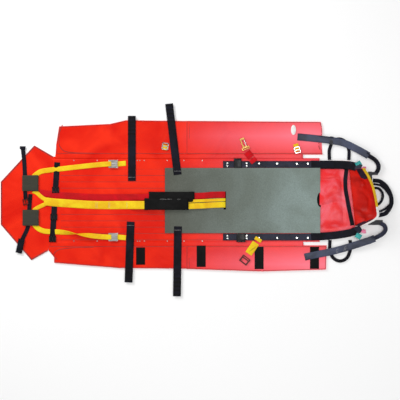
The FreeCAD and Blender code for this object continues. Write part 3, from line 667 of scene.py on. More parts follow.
def pocket_height(x, y):
    dip = 0.0
    for seam in SEAMS:
        deep = 0.0018 if seam in STRONG_SEAMS else 0.0012
        dip = max(dip, deep * math.exp(-(((y - seam * MM) / 0.0022) ** 2)))
    pucker = (0.0003 + 0.0005 * noise.noise(Vector((x * 38, y * 30, 2.0)))
              + 0.0004 * noise.noise(Vector((x * 14, y * 70, 8.0))))
    edge = min(y - PANEL_LOW[1], PANEL_HIGH[1] - y)
    return CLOTH_TOP - dip + pucker - 0.0025 * math.exp(-edge / 0.004)


back_outline = [(PANEL_MM[0] - 50, 251), (PANEL_MM[1], 251), (PANEL_MM[1], -251), (PANEL_MM[0] - 66, -251)]
back_cloth = panel("back_cloth", back_outline, pocket_height, RED, "back", ("pocket_panel",), step=0.0063,
                   thick=0.0007, round_edge=0)
for number, y in enumerate(SEAMS):
    xs = [PANEL_MM[0] + (PANEL_MM[1] - PANEL_MM[0]) * k / 90 for k in range(91)]
    route = [(x, y, max(3.4, pocket_height(x * MM, y * MM) / MM + 0.2)) for x in xs]
    webbing(f"back_seam_{number}", route, 3.0, RED_HEM_AND_SHADE, "back", thick=0.0005, crown=0.0)
print("back cloth", len(back_cloth.data.polygons), "faces")

# %% [markdown]
# At the head end the cloth has no battens, so it rucks up in loose folds between the mat and the end wall.
# Its mouth stands open in the middle, where the mat's end goes in.

# %% Head end floor
HEAD_FLOOR_START = MAT_HIGH[0] / MM - 4


def ruck(x, y):
    """Height of the loose cloth: soft pillows between creases, flat where webbing holds it."""
    along = (x - MAT_HIGH[0]) / (HEAD_X - MAT_HIGH[0])
    held = max(0.0, min(1.0, (0.19 - abs(y)) / 0.05)) * max(0.0, min(1.0, (0.95 - along) / 0.28))
    bend = 0.35 * noise.noise(Vector((x * 9, y * 5, 4.0)))
    fold = abs(math.sin((y + 0.02) * 22 + 2.4 * bend + (x - 0.78) * 3.0)) ** 0.45
    cross = abs(math.sin((x - 0.735) * 24 + 1.6 * bend + y * 1.4)) ** 0.4
    slope = 0.004 * math.sin((y + 0.03) * 18)
    return 0.0030 + held * (0.017 * fold * cross + slope * cross + 0.0025 * ripple(x, y, 13, 1.0))


floor_outline = [
    (HEAD_FLOOR_START, 198), (head_line(0.19) / MM - 3, 190),
    (head_line(-0.158) / MM - 3, -158), (head_line(-0.2) / MM - 60, -196),
    (HEAD_FLOOR_START, -200)]
# Its pinker red is a painted highlight of the glare on the rucked pillows.
head_floor = panel(
    "head_floor", floor_outline, ruck, RED_GLARE_FLOOR, "back", step=0.007, thick=0.001, round_edge=0)

# %% [markdown]
# ## Wings
# Each wing is folded double, so what shows is a rounded roll of cloth with an open inner edge. It is cut
# in two lengths, and the head one laps over the foot one.

# %% Wing outlines
WING_SPLIT = -42
RIGHT_REACH = [(-844, 70), (-826, 181), (-520, 196), (-426, 218), (WING_SPLIT, 213), (742, 208), (749, 175),
               (751, 139), (742, 105), (731, 71), (740, 40), (754, 16)]
LEFT_REACH = [(-890, 30), (-888, 44), (-856, 82), (-856, 116), (-462, 148), (WING_SPLIT, 152), (390, 168),
              (773, 157), (777, 16)]


def flap_outline(side, reach, end):
    """Outline of one half of a wing's flap."""
    keep = [(x, out) for x, out in reach if (x <= WING_SPLIT if end == "foot" else x >= WING_SPLIT)]
    fold = FOLD_Y / MM
    inner = 15
    if end == "foot":
        points = [(keep[0][0], inner)] + keep + [(WING_SPLIT, inner)]
    else:
        lap = WING_SPLIT - 22
        points = [(lap, inner), (lap, keep[0][1] + 1)] + keep[1:-1] + [keep[-1]]
    return [(x, side * (fold + out)) for x, out in points]


FLAP_LIFT = {"foot": -0.0004, "head": 0.0006}


def flap_surface(side, end):
    """The height of a flap's top, as a function of x and y in metres."""
    lift = FLAP_LIFT[end]
    seed = side * 3 + lift * 900

    def height(x, y):
        out = abs(y) - FOLD_Y
        inner = math.exp(-((out - 0.015) / 0.02) ** 2)
        crease = 0.0006 * noise.noise(Vector((x * 11 + y * 9, y * 31, seed)))
        wave = 0.0009 * inner * math.sin(x * 31 + seed)
        return FLAP_TOP + lift + 0.0012 * ripple(x, y, 7, seed) + crease + wave
    return height


for side, word, reach in ((1, "right", RIGHT_REACH), (-1, "left", LEFT_REACH)):
    for end in ("foot", "head"):
        outline = flap_outline(side, reach, end)
        surface = flap_surface(side, end)
        flap = panel(f"wing_{word}_{end}_cloth", outline, surface, RED,
                     f"wing_{word}", (f"wing_{word}_flap_{end}",), step=0.013, thick=0.0052,
                     round_edge=0.0022, segments=3)
        # These strips paint the hem and the shade along the flap's rolled edges.
        hem_and_shade_lines(f"wing_{word}_{end}_hem", outline, surface, f"wing_{word}")

# %% [markdown]
# The foot end of each roll turns in over its own lower layer, in a rounded edge; the shade along it is
# painted as a dark line.

# %% Rolled foot ends
RIGHT_TURN = [(-806, 190), (-822, 150), (-828, 100), (-822, 62), (-796, 34), (-740, 24), (-620, 20)]
LEFT_TURN = [(-838, 96), (-858, 74), (-850, 52), (-820, 36), (-740, 26), (-620, 22)]
for side, word, turn in ((1, "right", RIGHT_TURN), (-1, "left", LEFT_TURN)):
    surface = flap_surface(side, "foot")
    line = [(x, side * (FOLD_Y / MM + out)) for x, out in turn]
    webbing(f"wing_{word}_roll_edge_shade", [(x, y, surface(x * MM, y * MM) / MM + 0.15) for x, y in line], 5.0,
            RED_HEM_AND_SHADE, f"wing_{word}", thick=0.0007, crown=0.0003)

# %% [markdown]
# Between the back and each flap the cloth runs on across the fold line. This strip lies across the fold
# and is attached to neither body.

# %% Cloth across the wing folds
for side, word in ((1, "right"), (-1, "left")):
    y_in, y_out = side * 247, side * 279
    start_x = -852 if side > 0 else -884
    outline = [(start_x, y_in), (636, y_in), (636 if side > 0 else 640, y_out), (start_x + 6, y_out)]

    def fold_height(x, y):
        share = (abs(y) - 0.247) / 0.032
        return 0.0036 + 0.0012 * math.sin(share * math.pi) + 0.0010 * share + 0.0006 * ripple(x, y, 12, 4.0)

    strip = panel(
        f"fold_cloth_{word}", outline, fold_height, RED, None, step=0.008, thick=0.001, round_edge=0)
    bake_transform(strip)

# %% [markdown]
# ## The foot hood
# A six-sided flap that folds up over the feet. It is one sheet with a dark hem. The sheet lies across the
# slanting fold and is attached to no body, while its hem strips ride on the hood.

# %% Foot hood cloth
HOOD_CORNERS = [(0, 258), (-117, 324), (-303, 108), (-287, -147), (-92, -358), (0, -304)]
hood_points = [(foot_line(y * MM) / MM + d, y) for d, y in HOOD_CORNERS]
HOOD_ROOT = ((-0.3, 3, -304), (-0.256, 14, -256), (-0.25, 24, -250))
hood_outline = [(foot_line(0.25) / MM + 30, 250)] + hood_points + [
    (foot_line(at) / MM + past, y) for at, past, y in HOOD_ROOT]
HOOD_TOP = 0.0024


def hood_height(x, y):
    across = max(0.0, min(1.0, (foot_line(y) - x) / 0.06))
    line = abs(x - foot_line(y)) / 0.006
    ridge = abs(noise.noise(Vector((x * 6 - y * 9, y * 4, 1.0))))
    creases = across * (0.0012 * ripple(x, y, 9, 6.0) + 0.0008 * ridge)
    return HOOD_TOP + creases + 0.0008 * math.exp(-line * line) - 0.0003


foot_hood = panel(
    "foot_hood_cloth", hood_outline, hood_height, RED, None, ("foot_hood",), step=0.011, thick=0.002,
    round_edge=0.0007)
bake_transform(foot_hood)
hem_and_shade_lines("foot_hood_edge", hood_outline, hood_height, "foot_hood", shortest=60)
HEM_Z = 2.0
hem_route = []
for (x0, y0), (x1, y1) in zip(hood_points, hood_points[1:]):
    for far in (0.0, 0.03, 0.97):       # close to each corner, so that the hem turns sharply there
        hem_route.append((x0 * (1 - far) + x1 * far, y0 * (1 - far) + y1 * far, HEM_Z))
hem_route.append((*hood_points[-1], HEM_Z))
webbing("foot_hood_hem", hem_route, 5, RED_HEM_AND_SHADE, "foot_hood", thick=0.0009)
print("foot hood hem points", len(hem_route))

# %% [markdown]
# ## The foam mat
# A sheet of closed-cell foam with a slot for the straps. Its end has a shallow bite where it goes into the
# mouth of the head-end cloth.

# %% Mat
MAT_MM = [[v / MM for v in corner] for corner in (MAT_LOW, MAT_HIGH)]
BITE_MIDDLE, BITE_HALF, BITE_DEEP = 2.0, 44.0, 20.0


def bite():
    points = []
    for k in range(9):
        angle = math.pi * k / 8
        points.append(
            (MAT_MM[1][0] - BITE_DEEP * math.sin(angle), BITE_MIDDLE - BITE_HALF * math.cos(angle)))
    return points


mat_outline = [(MAT_MM[0][0], MAT_MM[0][1]), (MAT_MM[1][0], MAT_MM[0][1])] + bite() + [
    (MAT_MM[1][0], MAT_MM[1][1]), (MAT_MM[0][0], MAT_MM[1][1])]
SLOT_X, SLOT_Y = (0.159, 0.174), (-0.057, 0.051)


def mat_height(x, y):
    near_slot = math.hypot(max(0, abs(x - 0.167) - 0.01), max(0, abs(y + 0.003) - 0.054))
    dent = 0.0016 * math.exp(-((near_slot / 0.016) ** 2))
    end = 0.0035 * math.exp(-((MAT_HIGH[0] - x) / 0.03) ** 2 - (y / 0.07) ** 2)
    return MAT_HIGH[2] - dent + end + 0.0004 * ripple(x, y, 6, 9.0)


mat = panel("foam_mat_body", mat_outline, mat_height, FOAM, "back", ("foam_mat",), step=0.014, thick=0.0078,
            round_edge=0.0012, segments=2, holes=[((SLOT_X[0], SLOT_Y[0]), (SLOT_X[1], SLOT_Y[1]))])
# A black sheet under the bite is painted shadow in the cloth's open mouth.
mouth = [(MAT_MM[1][0] - 22, -48), (MAT_MM[1][0] + 4, -48), (MAT_MM[1][0] + 4, 52), (MAT_MM[1][0] - 22, 52)]
panel("mat_mouth_painted_shadow", mouth, lambda x, y: PANEL_TOP + 0.0014, SLEEVE, "back", step=0.02, round_edge=0)
under_slot = [(157, -60), (177, -60), (177, 54), (157, 54)]
panel("slot_shadow", under_slot, lambda x, y: PANEL_TOP + 0.0012, SLEEVE, "back", step=0.02, round_edge=0)
print("mat", round(MAT_MM[1][0] - MAT_MM[0][0]), "mm long")

# %% [markdown]
# ## Yellow and red straps
# They run from under the hood's pads, over the foot fold and along the legs. On the stretcher the parts on
# the hood move with it; here each strap is one piece laid across the fold and attached to no body.

# %% Straps along the legs
ON_CLOTH = PANEL_TOP / MM + 0.5
ON_HOOD = 3.2


def fold_strap(name, route, width, material, replaced, twist=None):
    """A strap that starts on the hood and runs across the foot fold, attached to no body."""
    strap = webbing(name, route, width, material, None, replaced, twist=twist)
    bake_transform(strap)


RAISED = ON_CLOTH + 2.0
fold_strap(
    "foot_strap_right_web", [(-985, 132, ON_HOOD), (-966, 152, ON_HOOD), (-935, 171, ON_HOOD + 1),
    (-895, 178, 5), (-822, 186, ON_CLOTH), (-700, 200, ON_CLOTH), (-585, 212, ON_CLOTH),
    (-531, 216, RAISED), (-473, 216, RAISED), (-452, 218, ON_CLOTH), (-426, 220, ON_CLOTH)], 30, YELLOW,
    ("foot_strap_right",))
fold_strap(
    "foot_strap_left_web", [(-980, -140, ON_HOOD), (-958, -166, ON_HOOD), (-925, -184, ON_HOOD + 1),
    (-890, -189, 5), (-822, -192, ON_CLOTH), (-700, -206, ON_CLOTH + 1), (-585, -219, ON_CLOTH),
    (-531, -222, RAISED), (-473, -222, RAISED), (-452, -224, ON_CLOTH), (-426, -226, ON_CLOTH)], 30,
    YELLOW, ("foot_strap_left",), twist=(0.24, 0.74))
SLEEVE_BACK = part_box("sleeve_back")
SLEEVE_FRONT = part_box("sleeve_front")
YELLOW_LEVEL = (SLEEVE_FRONT[0][2] + SLEEVE_FRONT[1][2]) / 2 / MM - WEB / MM / 2
RED_LEVEL = (SLEEVE_BACK[0][2] + SLEEVE_BACK[1][2]) / 2 / MM - WEB / MM / 2
fold_strap("centre_strap_web", [
    (-917, -8, ON_HOOD + 3), (-900, -9, ON_HOOD + 3), (-862, -14, ON_CLOTH + 1), (-780, -20, ON_CLOTH),
    (-612, -30, ON_CLOTH), (-420, -30, ON_CLOTH), (-362, -30, YELLOW_LEVEL), (-185, -30, YELLOW_LEVEL)],
    48, YELLOW, ("centre_strap",))
fold_strap(
    "red_strap_web", [(-948, 44, ON_HOOD), (-900, 38, ON_HOOD + 1), (-860, 33, ON_CLOTH),
    (-780, 26, ON_CLOTH), (-612, 17, ON_CLOTH), (-386, 17, ON_CLOTH), (-336, 17, RED_LEVEL),
    (33, 25, RED_LEVEL), (83, 30, 14), (150, 32, 14), (170, 32, 7)], 38, CRIMSON, ("red_strap",))
webbing("hood_tail_upper", [
    (-984, 54, ON_HOOD), (-962, 44, ON_HOOD + 0.6), (-935, 20, ON_HOOD + 1), (-912, 4, ON_HOOD + 1)],
    24, YELLOW, "foot_hood", ("hood_yellow_ends",))
webbing("hood_tail_lower", [
    (-980, -64, ON_HOOD), (-962, -50, ON_HOOD + 0.6), (-935, -36, ON_HOOD + 1), (-908, -24, ON_HOOD + 1)],
    24, YELLOW, "foot_hood")
webbing("slot_strap_upper", [
    (-178, -13, YELLOW_LEVEL), (33, -4, YELLOW_LEVEL), (83, -1.5, 14), (150, 1, 14), (171, 1, 7)],
    18, YELLOW, "back", ("slot_straps",))
webbing("slot_strap_lower", [
    (-178, -42, YELLOW_LEVEL), (33, -34, YELLOW_LEVEL), (83, -31, 14), (150, -28, 14), (171, -28, 7)],
    34, YELLOW, "back")
ON_STRAP = ON_CLOTH + 2.9
bar_rows = [((x, -50, ON_STRAP), (x, -10, ON_STRAP)) for x in (-606, -598, -531, -523, -420)]
stitches("centre_strap_bars", bar_rows, THREAD, "back", pitch=0.004, long=0.003)
print("straps lie at", round(ON_CLOTH, 1), "mm")

# %% [markdown]
# ## Sleeves
# Two padded cloth tubes slide on the centre straps. Each starts as a bevelled block, is swollen by a cloth
# simulation with a little pressure, and is then capped so that it stays near its place.

# %% Padded pieces by cloth simulation


def cushion_block(low, high):
    bm = bmesh.new()
    size = [b - a for a, b in zip(low, high)]
    middle = Vector([(a + b) / 2 for a, b in zip(low, high)])
    bmesh.ops.create_cube(bm, size=1, matrix=Matrix.Translation(middle) @ Matrix.Diagonal((*size, 1)))
    bmesh.ops.bevel(
        bm, geom=bm.edges[:], offset=min(size) * 0.32, offset_type="OFFSET", segments=2, profile=0.5,
        affect="EDGES", material=-1)
    return bm


def apply_modifiers(piece):
    """Replaces a piece's mesh by its evaluated one, and drops the modifiers."""
    graph = bpy.context.evaluated_depsgraph_get()
    graph.update()
    done = bpy.data.meshes.new_from_object(piece.evaluated_get(graph))
    piece.modifiers.clear()
    piece.data = done


def padded_piece(name, low, high, material, body, replaced, cap=0.002, voxel=0.0045):
    """A block remeshed, puffed with Cloth pressure, and held within cap of where it began."""
    piece = new_piece(name, cushion_block(low, high), material, None)
    remesh = piece.modifiers.new("remesh", "REMESH")
    remesh.mode = "VOXEL"
    remesh.voxel_size = voxel
    apply_modifiers(piece)
    before = [v.co.copy() for v in piece.data.vertices]
    cloth = piece.modifiers.new("cloth", "CLOTH")
    cloth.settings.use_pressure = True
    cloth.settings.uniform_pressure_force = 4
    cloth.settings.effector_weights.gravity = 0
    scene = bpy.context.scene
    for number in range(1, 16):
        scene.frame_set(number)
    apply_modifiers(piece)
    scene.frame_set(1)
    for vert, start in zip(piece.data.vertices, before):
        move = vert.co - start
        move.length = min(move.length, cap)
        vert.co = start + move
        crease = noise.noise(Vector((start.x * 24, start.y * 60, 3.0)))
        vert.co.z += 0.0012 * crease * (1 if start.z > (low[2] + high[2]) / 2 else 0)
    for face in piece.data.polygons:
        face.use_smooth = True
    finish = piece.modifiers.new("smooth", "SUBSURF")
    finish.levels = 1
    finish.render_levels = 1
    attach(piece, body)
    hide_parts(*replaced)
    return piece


BACK_HIGH = (SLEEVE_BACK[1][0], SLEEVE_BACK[1][1] + 0.003, SLEEVE_BACK[1][2] + 0.004)
FRONT_HIGH = (SLEEVE_FRONT[1][0] + 0.006, SLEEVE_FRONT[1][1], SLEEVE_FRONT[1][2] + 0.006)
padded_piece("back_sleeve_pad", SLEEVE_BACK[0], BACK_HIGH, SLEEVE, "sleeve_back", ("sleeve_back",))
padded_piece("front_sleeve_pad", SLEEVE_FRONT[0], FRONT_HIGH, SLEEVE, "sleeve_front", ("sleeve_front",))
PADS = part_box("hood_pads")
PAD_SIDE = 0.096
for word, low_y in (("left", PADS[0][1]), ("right", PADS[1][1] - PAD_SIDE)):
    low_x = PADS[0][0] if word == "right" else PADS[1][0] - PAD_SIDE
    replaced = ("hood_pads",) if word == "right" else ()
    low = (low_x + 0.001, low_y + 0.001, PADS[0][2])
    high = (low_x + PAD_SIDE + 0.003, low_y + PAD_SIDE + 0.002, PADS[1][2] + 0.006)
    padded_piece(f"hood_pad_{word}", low, high, PAD, "foot_hood", replaced, cap=0.0015, voxel=0.003)
sleeve_top = FRONT_HIGH[2] / MM + 0.4
sleeve_x, sleeve_y = ((SLEEVE_FRONT[0][axis] / MM, SLEEVE_FRONT[1][axis] / MM) for axis in (0, 1))
stitches("front_sleeve_stitching", [
    ((sleeve_x[1] - 12, sleeve_y[0] + 4, sleeve_top), (sleeve_x[1] - 12, sleeve_y[1] - 4, sleeve_top)),
    ((sleeve_x[0] + 10, sleeve_y[1] - 8, sleeve_top), (sleeve_x[1] - 10, sleeve_y[1] - 8, sleeve_top))],
    THREAD, "sleeve_front", pitch=0.005)

# %% [markdown]
# ## Closure straps
# Four wide hook-and-loop straps cross the wings. The outer half has dark cross bands where the hook tape
# has pressed marks. Each is one strap laid across its wing's fold and attached to no body.

# %% Closure straps
MAT_FOOT = MAT_MM[0][0]
MAT_Z = MAT_MM[1][2] + 0.5
WING_Z = FLAP_TOP / MM + 0.8
CLOSURES = {
    "foot_right": (1, (MAT_FOOT - 198, 114), (MAT_FOOT - 198, 504), ON_CLOTH),
    "foot_left": (-1, (MAT_FOOT - 205, -130), (MAT_FOOT - 218, -494), ON_CLOTH),
    "middle_right": (1, (MAT_FOOT + 76, 151), (MAT_FOOT + 25, 577), MAT_Z),
    "middle_left": (-1, (MAT_FOOT + 78, -158), (MAT_FOOT + 72, -577), MAT_Z),
}


def closure_route(side, inner, outer, start_z):
    """Points at the heights the strap lies at: mat or cloth, fold, then along the wing."""
    mat_edge = 192 if side > 0 else 198
    levels = [(abs(inner[1]), start_z)]
    if start_z > ON_CLOTH:
        levels += [(mat_edge - 4, start_z), (mat_edge + 12, ON_CLOTH + 0.4)]
    levels += [(250, ON_CLOTH + 0.4), (280, WING_Z)]
    levels += [(280 + (abs(outer[1]) - 280) * k / 8, WING_Z + (0.5 if k % 3 else 0.1)) for k in range(1, 9)]
    points = []
    for away, z in levels:
        share = (away - abs(inner[1])) / (abs(outer[1]) - abs(inner[1]))
        points.append((inner[0] + (outer[0] - inner[0]) * share, side * away, z))
    return points


for name, (side, inner, outer, start_z) in CLOSURES.items():
    route = closure_route(side, inner, outer, start_z)
    strap = webbing(f"closure_{name}_web", route, 47, BLACK_WEB, None,
                    (f"closure_{name}_inner", f"closure_{name}_outer"))
    wing = "wing_right" if side > 0 else "wing_left"
    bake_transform(strap)
    x, y, z = route[0]
    seam_y = y + side * 22
    stitches(
        f"closure_{name}_stitch", [((x - 21, seam_y, z + 2.9), (x + 21, seam_y, z + 2.9))], THREAD,
        "back", pitch=0.004, long=0.0034)
    for k in range(5):
        away = abs(route[-1][1]) - 12 - 24 * k
        share = (away - abs(inner[1])) / (abs(outer[1]) - abs(inner[1]))
        cx = inner[0] + (outer[0] - inner[0]) * share
        band = [(cx - 22, side * away, WING_Z + 2.3), (cx + 22, side * away, WING_Z + 2.3)]
        webbing(f"closure_{name}_band_{k}", band, 9, SLEEVE, wing, thick=0.0006)
print("closures", len(CLOSURES))

# %% [markdown]
# ## Side webbing
# Long harness webbing lies beside the mat, riveted through the back, and rises at the head-end corners.

# %% Side webbing
SIDE_Z = ON_CLOTH
webbing("side_web_right", [
    (156, 213, SIDE_Z), (300, 213, SIDE_Z), (684, 213, SIDE_Z), (800, 213, SIDE_Z), (900, 212, SIDE_Z + 3),
    (935, 206, SIDE_Z + 14), (960, 196, 38), (974, 188, 50)], 42, BLUE_WEB, "back", ("side_webbing_right",))
webbing(
    "side_web_left", [(156, -222, SIDE_Z), (300, -222, SIDE_Z), (700, -222, SIDE_Z), (800, -216, SIDE_Z),
    (900, -200, SIDE_Z + 3), (935, -190, SIDE_Z + 14), (960, -178, 38), (976, -168, 50)], 42, BLUE_WEB,
    "back", ("side_webbing_left",))
webbing(
    "side_cover_right", [(684, 211, SIDE_Z + 2.4), (800, 211, SIDE_Z + 2.4), (905, 208, SIDE_Z + 5),
    (940, 200, 24), (952, 195, 32)], 50, BLACK_WEB, "back")
webbing("side_cover_left", [
    (684, -220, SIDE_Z + 2.4), (800, -214, SIDE_Z + 2.4), (900, -200, SIDE_Z + 5), (940, -188, 24),
    (956, -181, 34)], 46, BLACK_WEB, "back")
EDGE_Z = SIDE_Z + 2.7
for word, y in (("right", 213), ("left", -222)):
    stitches(
        f"side_web_{word}_stitching",
        [((160, y + k, EDGE_Z), (680, y + k, EDGE_Z)) for k in (-18.5, 18.5)], DARK_THREAD, "back",
        pitch=0.009)

# %% [markdown]
# The adjusters are moulded three-bar slides with a rounded rim, and each has a loop of black webbing
# wound round its bars.

# %% Adjusters


def slide_frame(name, middle, size, bar, thick, material, body, turn=0.0, replaced=()):
    """A three-bar slide: an outer ring and a middle bar, built from five bevelled boxes."""
    bm = bmesh.new()
    ends = [(-0.5, -0.5 + bar, -0.5, 0.5), (0.5 - bar, 0.5, -0.5, 0.5), (-bar / 2, bar / 2, -0.5, 0.5)]
    sides = [(-0.5, 0.5, -0.5, -0.5 + bar), (-0.5, 0.5, 0.5 - bar, 0.5)]
    for x0, x1, y0, y1 in ends + sides:
        size_box = ((x1 - x0) * size[0], (y1 - y0) * size[1], thick)
        centre = Vector(((x0 + x1) / 2 * size[0], (y0 + y1) / 2 * size[1], 0))
        scaled = Matrix.Translation(centre) @ Matrix.Diagonal((*size_box, 1))
        made = bmesh.ops.create_cube(bm, size=1, matrix=scaled)
        edges = {e for v in made["verts"] for e in v.link_edges}
        bmesh.ops.bevel(
            bm, geom=list(edges), offset=thick * 0.28, offset_type="OFFSET", segments=2, profile=0.5,
            affect="EDGES", material=-1)
    turned = Matrix.Rotation(math.radians(turn), 4, "Z") @ Matrix.Scale(MM, 4)
    place = Matrix.Translation(Vector(middle) * MM) @ turned
    bmesh.ops.transform(bm, matrix=place, verts=bm.verts)
    return new_piece(name, bm, material, body, replaced, smooth=False)


slide_frame("adjuster_right", (244, 220, SIDE_Z + 5), (46, 58), 0.14, 4.0, PLASTIC, "back",
            replaced=("side_adjusters",))
slide_frame("adjuster_left", (264, -226, SIDE_Z + 5), (54, 52), 0.14, 4.0, PLASTIC, "back")
for word, y, width, xs in (("right", 219, 54, (222, 244, 266)), ("left", -222, 44, (238, 262, 289))):
    wrap = [(x, y, SIDE_Z + high) for x, high in zip(xs, (6.8, 8.4, 7))]
    webbing(f"adjuster_wrap_{word}", wrap, width, PLASTIC, "back")
# Thin steel-coloured strips along the adjusters' edges are painted glints on the glossy black rims.
ADJUSTER_GLINTS = {
    "right": [(262, 194, SIDE_Z + 7.6), (262, 236, SIDE_Z + 7.6)],
    "left": [
        (x, y, SIDE_Z + 7.8)
        for x, y in ((283, -243), (280, -232), (285, -222), (281, -210), (284, -202))],
}
for word, route in ADJUSTER_GLINTS.items():
    webbing(f"adjuster_glint_{word}", route, 2.5, STEEL, "back", thick=0.001)
print("adjusters", len(ADJUSTER_GLINTS))

# %% [markdown]
# ## Lifting straps, handles and haul loops
# These are loose webbing that stands out from the head end. Each bows up a little off the ground between
# the places where it is held, and the tow webbing joins them underneath.

# %% Loose webbing at the head end
webbing("lift_right_web", [
    (602, 378, 9.2), (700, 369, 9.6), (798, 357, 10), (876, 342, 11.5), (945, 310, 18), (1000, 280, 22),
    (1026, 264, 22)], 42, LIFT_WEB, "lift_right", ("lift_strap_right",), tilt=0.06)
webbing("lift_right_curl", [
    (1010, 274, 21), (1040, 256, 21), (1066, 238, 20), (1084, 212, 15), (1086, 186, 11), (1074, 163, 9.5)],
    24, BLACK_WEB, "lift_right", tilt=0.3)
webbing(
    "lift_left_web", [(645, -342, 9.2), (720, -326, 9.6), (798, -311, 10), (888, -287, 11.5),
    (975, -260, 18), (1040, -238, 22), (1062, -229, 22)], 42, LIFT_WEB, "lift_left", ("lift_strap_left",),
    tilt=0.06)
webbing("lift_left_curl", [
    (1046, -236, 21), (1080, -220, 21), (1108, -204, 20), (1129, -178, 15), (1122, -153, 11),
    (1100, -139, 9.5)], 26, BLUE_WEB, "lift_left", tilt=0.3)
lift_rows = []
for x, shift in ((834, 0), (842, 2), (880, 10), (888, 12)):
    z = 13.3 + (x - 830) * 0.02
    lift_rows.append(((x, -318 + shift, z), (x + 4, -282 + shift, z)))
stitches("lift_left_bars", lift_rows, THREAD, "lift_left", pitch=0.004, long=0.003)
webbing("handle_right_web", [
    (795, 240, 3.0), (793, 272, 3.0), (795, 304, 3.0), (815, 348, 3.2), (852, 366, 3.2), (890, 348, 3.2),
    (910, 304, 3.0), (912, 272, 3.0), (910, 240, 3.0)], 20, BLACK_WEB, "handle_right", ("handle_right",))
webbing(
    "handle_left_web", [(798, -240, 3.0), (796, -272, 3.0), (798, -304, 3.0), (818, -348, 3.2),
    (858, -366, 3.2), (898, -348, 3.2), (918, -304, 3.0), (920, -272, 3.0), (918, -240, 3.0)], 20,
    BLACK_WEB, "handle_left", ("handle_left",))
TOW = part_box("haul_loops")[0][0] / MM
webbing("haul_outer", [
    (TOW + 2, 117, 0.3), (TOW + 46, 110, 6), (TOW + 88, 70, 10), (TOW + 112, -8, 12), (TOW + 84, -74, 10),
    (TOW + 44, -90, 6), (TOW + 2, -92, 0.3)], 24, BLACK_WEB, "haul", ("haul_loops",), tilt=0.25)
webbing("haul_strand", [
    (TOW + 4, 96, 3.2), (TOW + 52, 84, 12), (TOW + 92, 40, 16), (TOW + 112, -8, 15), (TOW + 74, -52, 14),
    (TOW + 30, -72, 9), (TOW + 4, -76, 3.2)], 13, BLACK_WEB, "haul", tilt=0.3)
webbing("haul_inner", [
    (TOW + 2, 74, 3), (TOW + 40, 66, 8), (TOW + 60, 28, 12), (TOW + 44, -18, 8), (TOW + 2, -36, 3)],
    15, BLACK_WEB, "haul")
print("tow webbing ends at", round(TOW), "mm")

# %% [markdown]
# ## Head hood
# The end wall leans out and is drawn in at its corners by webbing. A yellow strap runs along its rim.

# %% Head hood cloth
CREASE = [(head_line(y * MM, 0.0005) / MM, y, 2.0) for y in (184, 140, 66, -70, -112, -154)]
RIM = [(975, 186, 94), (1008, 132, 94), (1036, 60, 95), (1056, -40, 95), (1056, -100, 95), (966, -154, 94)]
# The wall's darker red is painted shade on the inside of the standing cloth.
head_hood = curtain("head_hood_cloth", CREASE, RIM, RED_SHADED, "head_hood", ("head_hood",), thick=0.002,
                    bulge=0.012, folds=0.022)
rim_low = [(x + 17, y * 1.02, z - 17) for x, y, z in RIM]
rim_high = [(x + 0.5, y, z + 2.0) for x, y, z in RIM]
curtain("rim_web", rim_low[:4], rim_high[:4], YELLOW, "head_hood", ("rim_strap",), thick=0.0022, rows=4)
curtain("rim_web_bare", rim_low[3:], rim_high[3:], BLANK, "head_hood", thick=0.0022, rows=4)
curtain("corner_web_right", [(948, 184, 40), (966, 150, 44), (985, 118, 48)],
        [(972, 185, 90), (992, 156, 92), (1006, 128, 93)], BLUE_WEB, "head_hood", ("hood_corners",),
        thick=0.0022, rows=4)
curtain("corner_web_left", [(946, -152, 40), (960, -142, 44), (985, -130, 48)],
        [(962, -153, 90), (998, -134, 92), (1040, -112, 93)], BLUE_WEB, "head_hood", thick=0.0022, rows=4)

# %% [markdown]
# A black strap crosses the loose cloth in front of the end wall. It lies on the rucks, so its height is
# read from the same function that shaped them.

# %% Head cross strap
cross_points = [
    (896, 184), (893, 160), (889, 130), (888, 100), (890, 60), (897, 20),
    (905, -20), (913, -60), (921, -100), (928, -130), (932, -152)]
cross_route = [(x, y, min(ruck(x * MM, y * MM) / MM + 2.0, 13)) for x, y in cross_points]
webbing("head_cross_web", cross_route, 24, BLACK_WEB, "back", ("head_cross_strap",))

# %% [markdown]
# ## Small trim
# Patches, tabs, hood straps and the small slides each get their own webbing and thread.

# %% Tape ends and a blank patch
for word, side in (("right", 1), ("left", -1)):
    webbing(f"teal_tape_{word}", [(948, side * 206, 30), (962, side * 214, 38), (978, side * 224, 34)],
            30, TEAL, "back")
    webbing(f"pink_tape_{word}", [(980, side * 180, 54), (992, side * 187, 58), (1004, side * 186, 54)],
            24, PINK, "head_hood")
oval = [(578 + 15 * math.cos(math.pi * k / 10), 420 + 30 * math.sin(math.pi * k / 10)) for k in range(20)]
panel("blank_oval", oval, lambda x, y: FLAP_TOP + 0.0030, BLANK, "wing_right", step=0.01, thick=0.0012,
      round_edge=0.0003)
print("oval patch corners", len(oval))

# %% Hood straps
webbing("hood_strap_right_web", [
    (-1044, 312, 3), (-1036, 230, 3), (-1032, 150, 3), (-1030, 50, 3), (-1027, 6, 3.4)],
    25, BLACK_WEB, "foot_hood", ("hood_strap_right",))
webbing(
    "hood_strap_right_knob", [(-1044, 304, 5.4), (-1044, 322, 5.6)], 34, BLACK_WEB, "foot_hood",
    thick=0.004)
webbing(
    "hood_strap_left_web", [(-999, 36, 3), (-1006, -60, 3), (-1014, -160, 3), (-1052, -246, 3)], 25,
    BLACK_WEB, "foot_hood", ("hood_strap_left",))
webbing("hood_strap_left_loop", [(-1050, -234, 5.4), (-1058, -274, 6.4), (-1068, -318, 5.4)], 38, BLACK_WEB,
        "foot_hood", thick=0.005)
slide_frame("hood_slide_frame", (-1026, -12, 8), (34, 38), 0.16, 3.2, RED_PLASTIC, "foot_hood", turn=10,
            replaced=("hood_slide",))

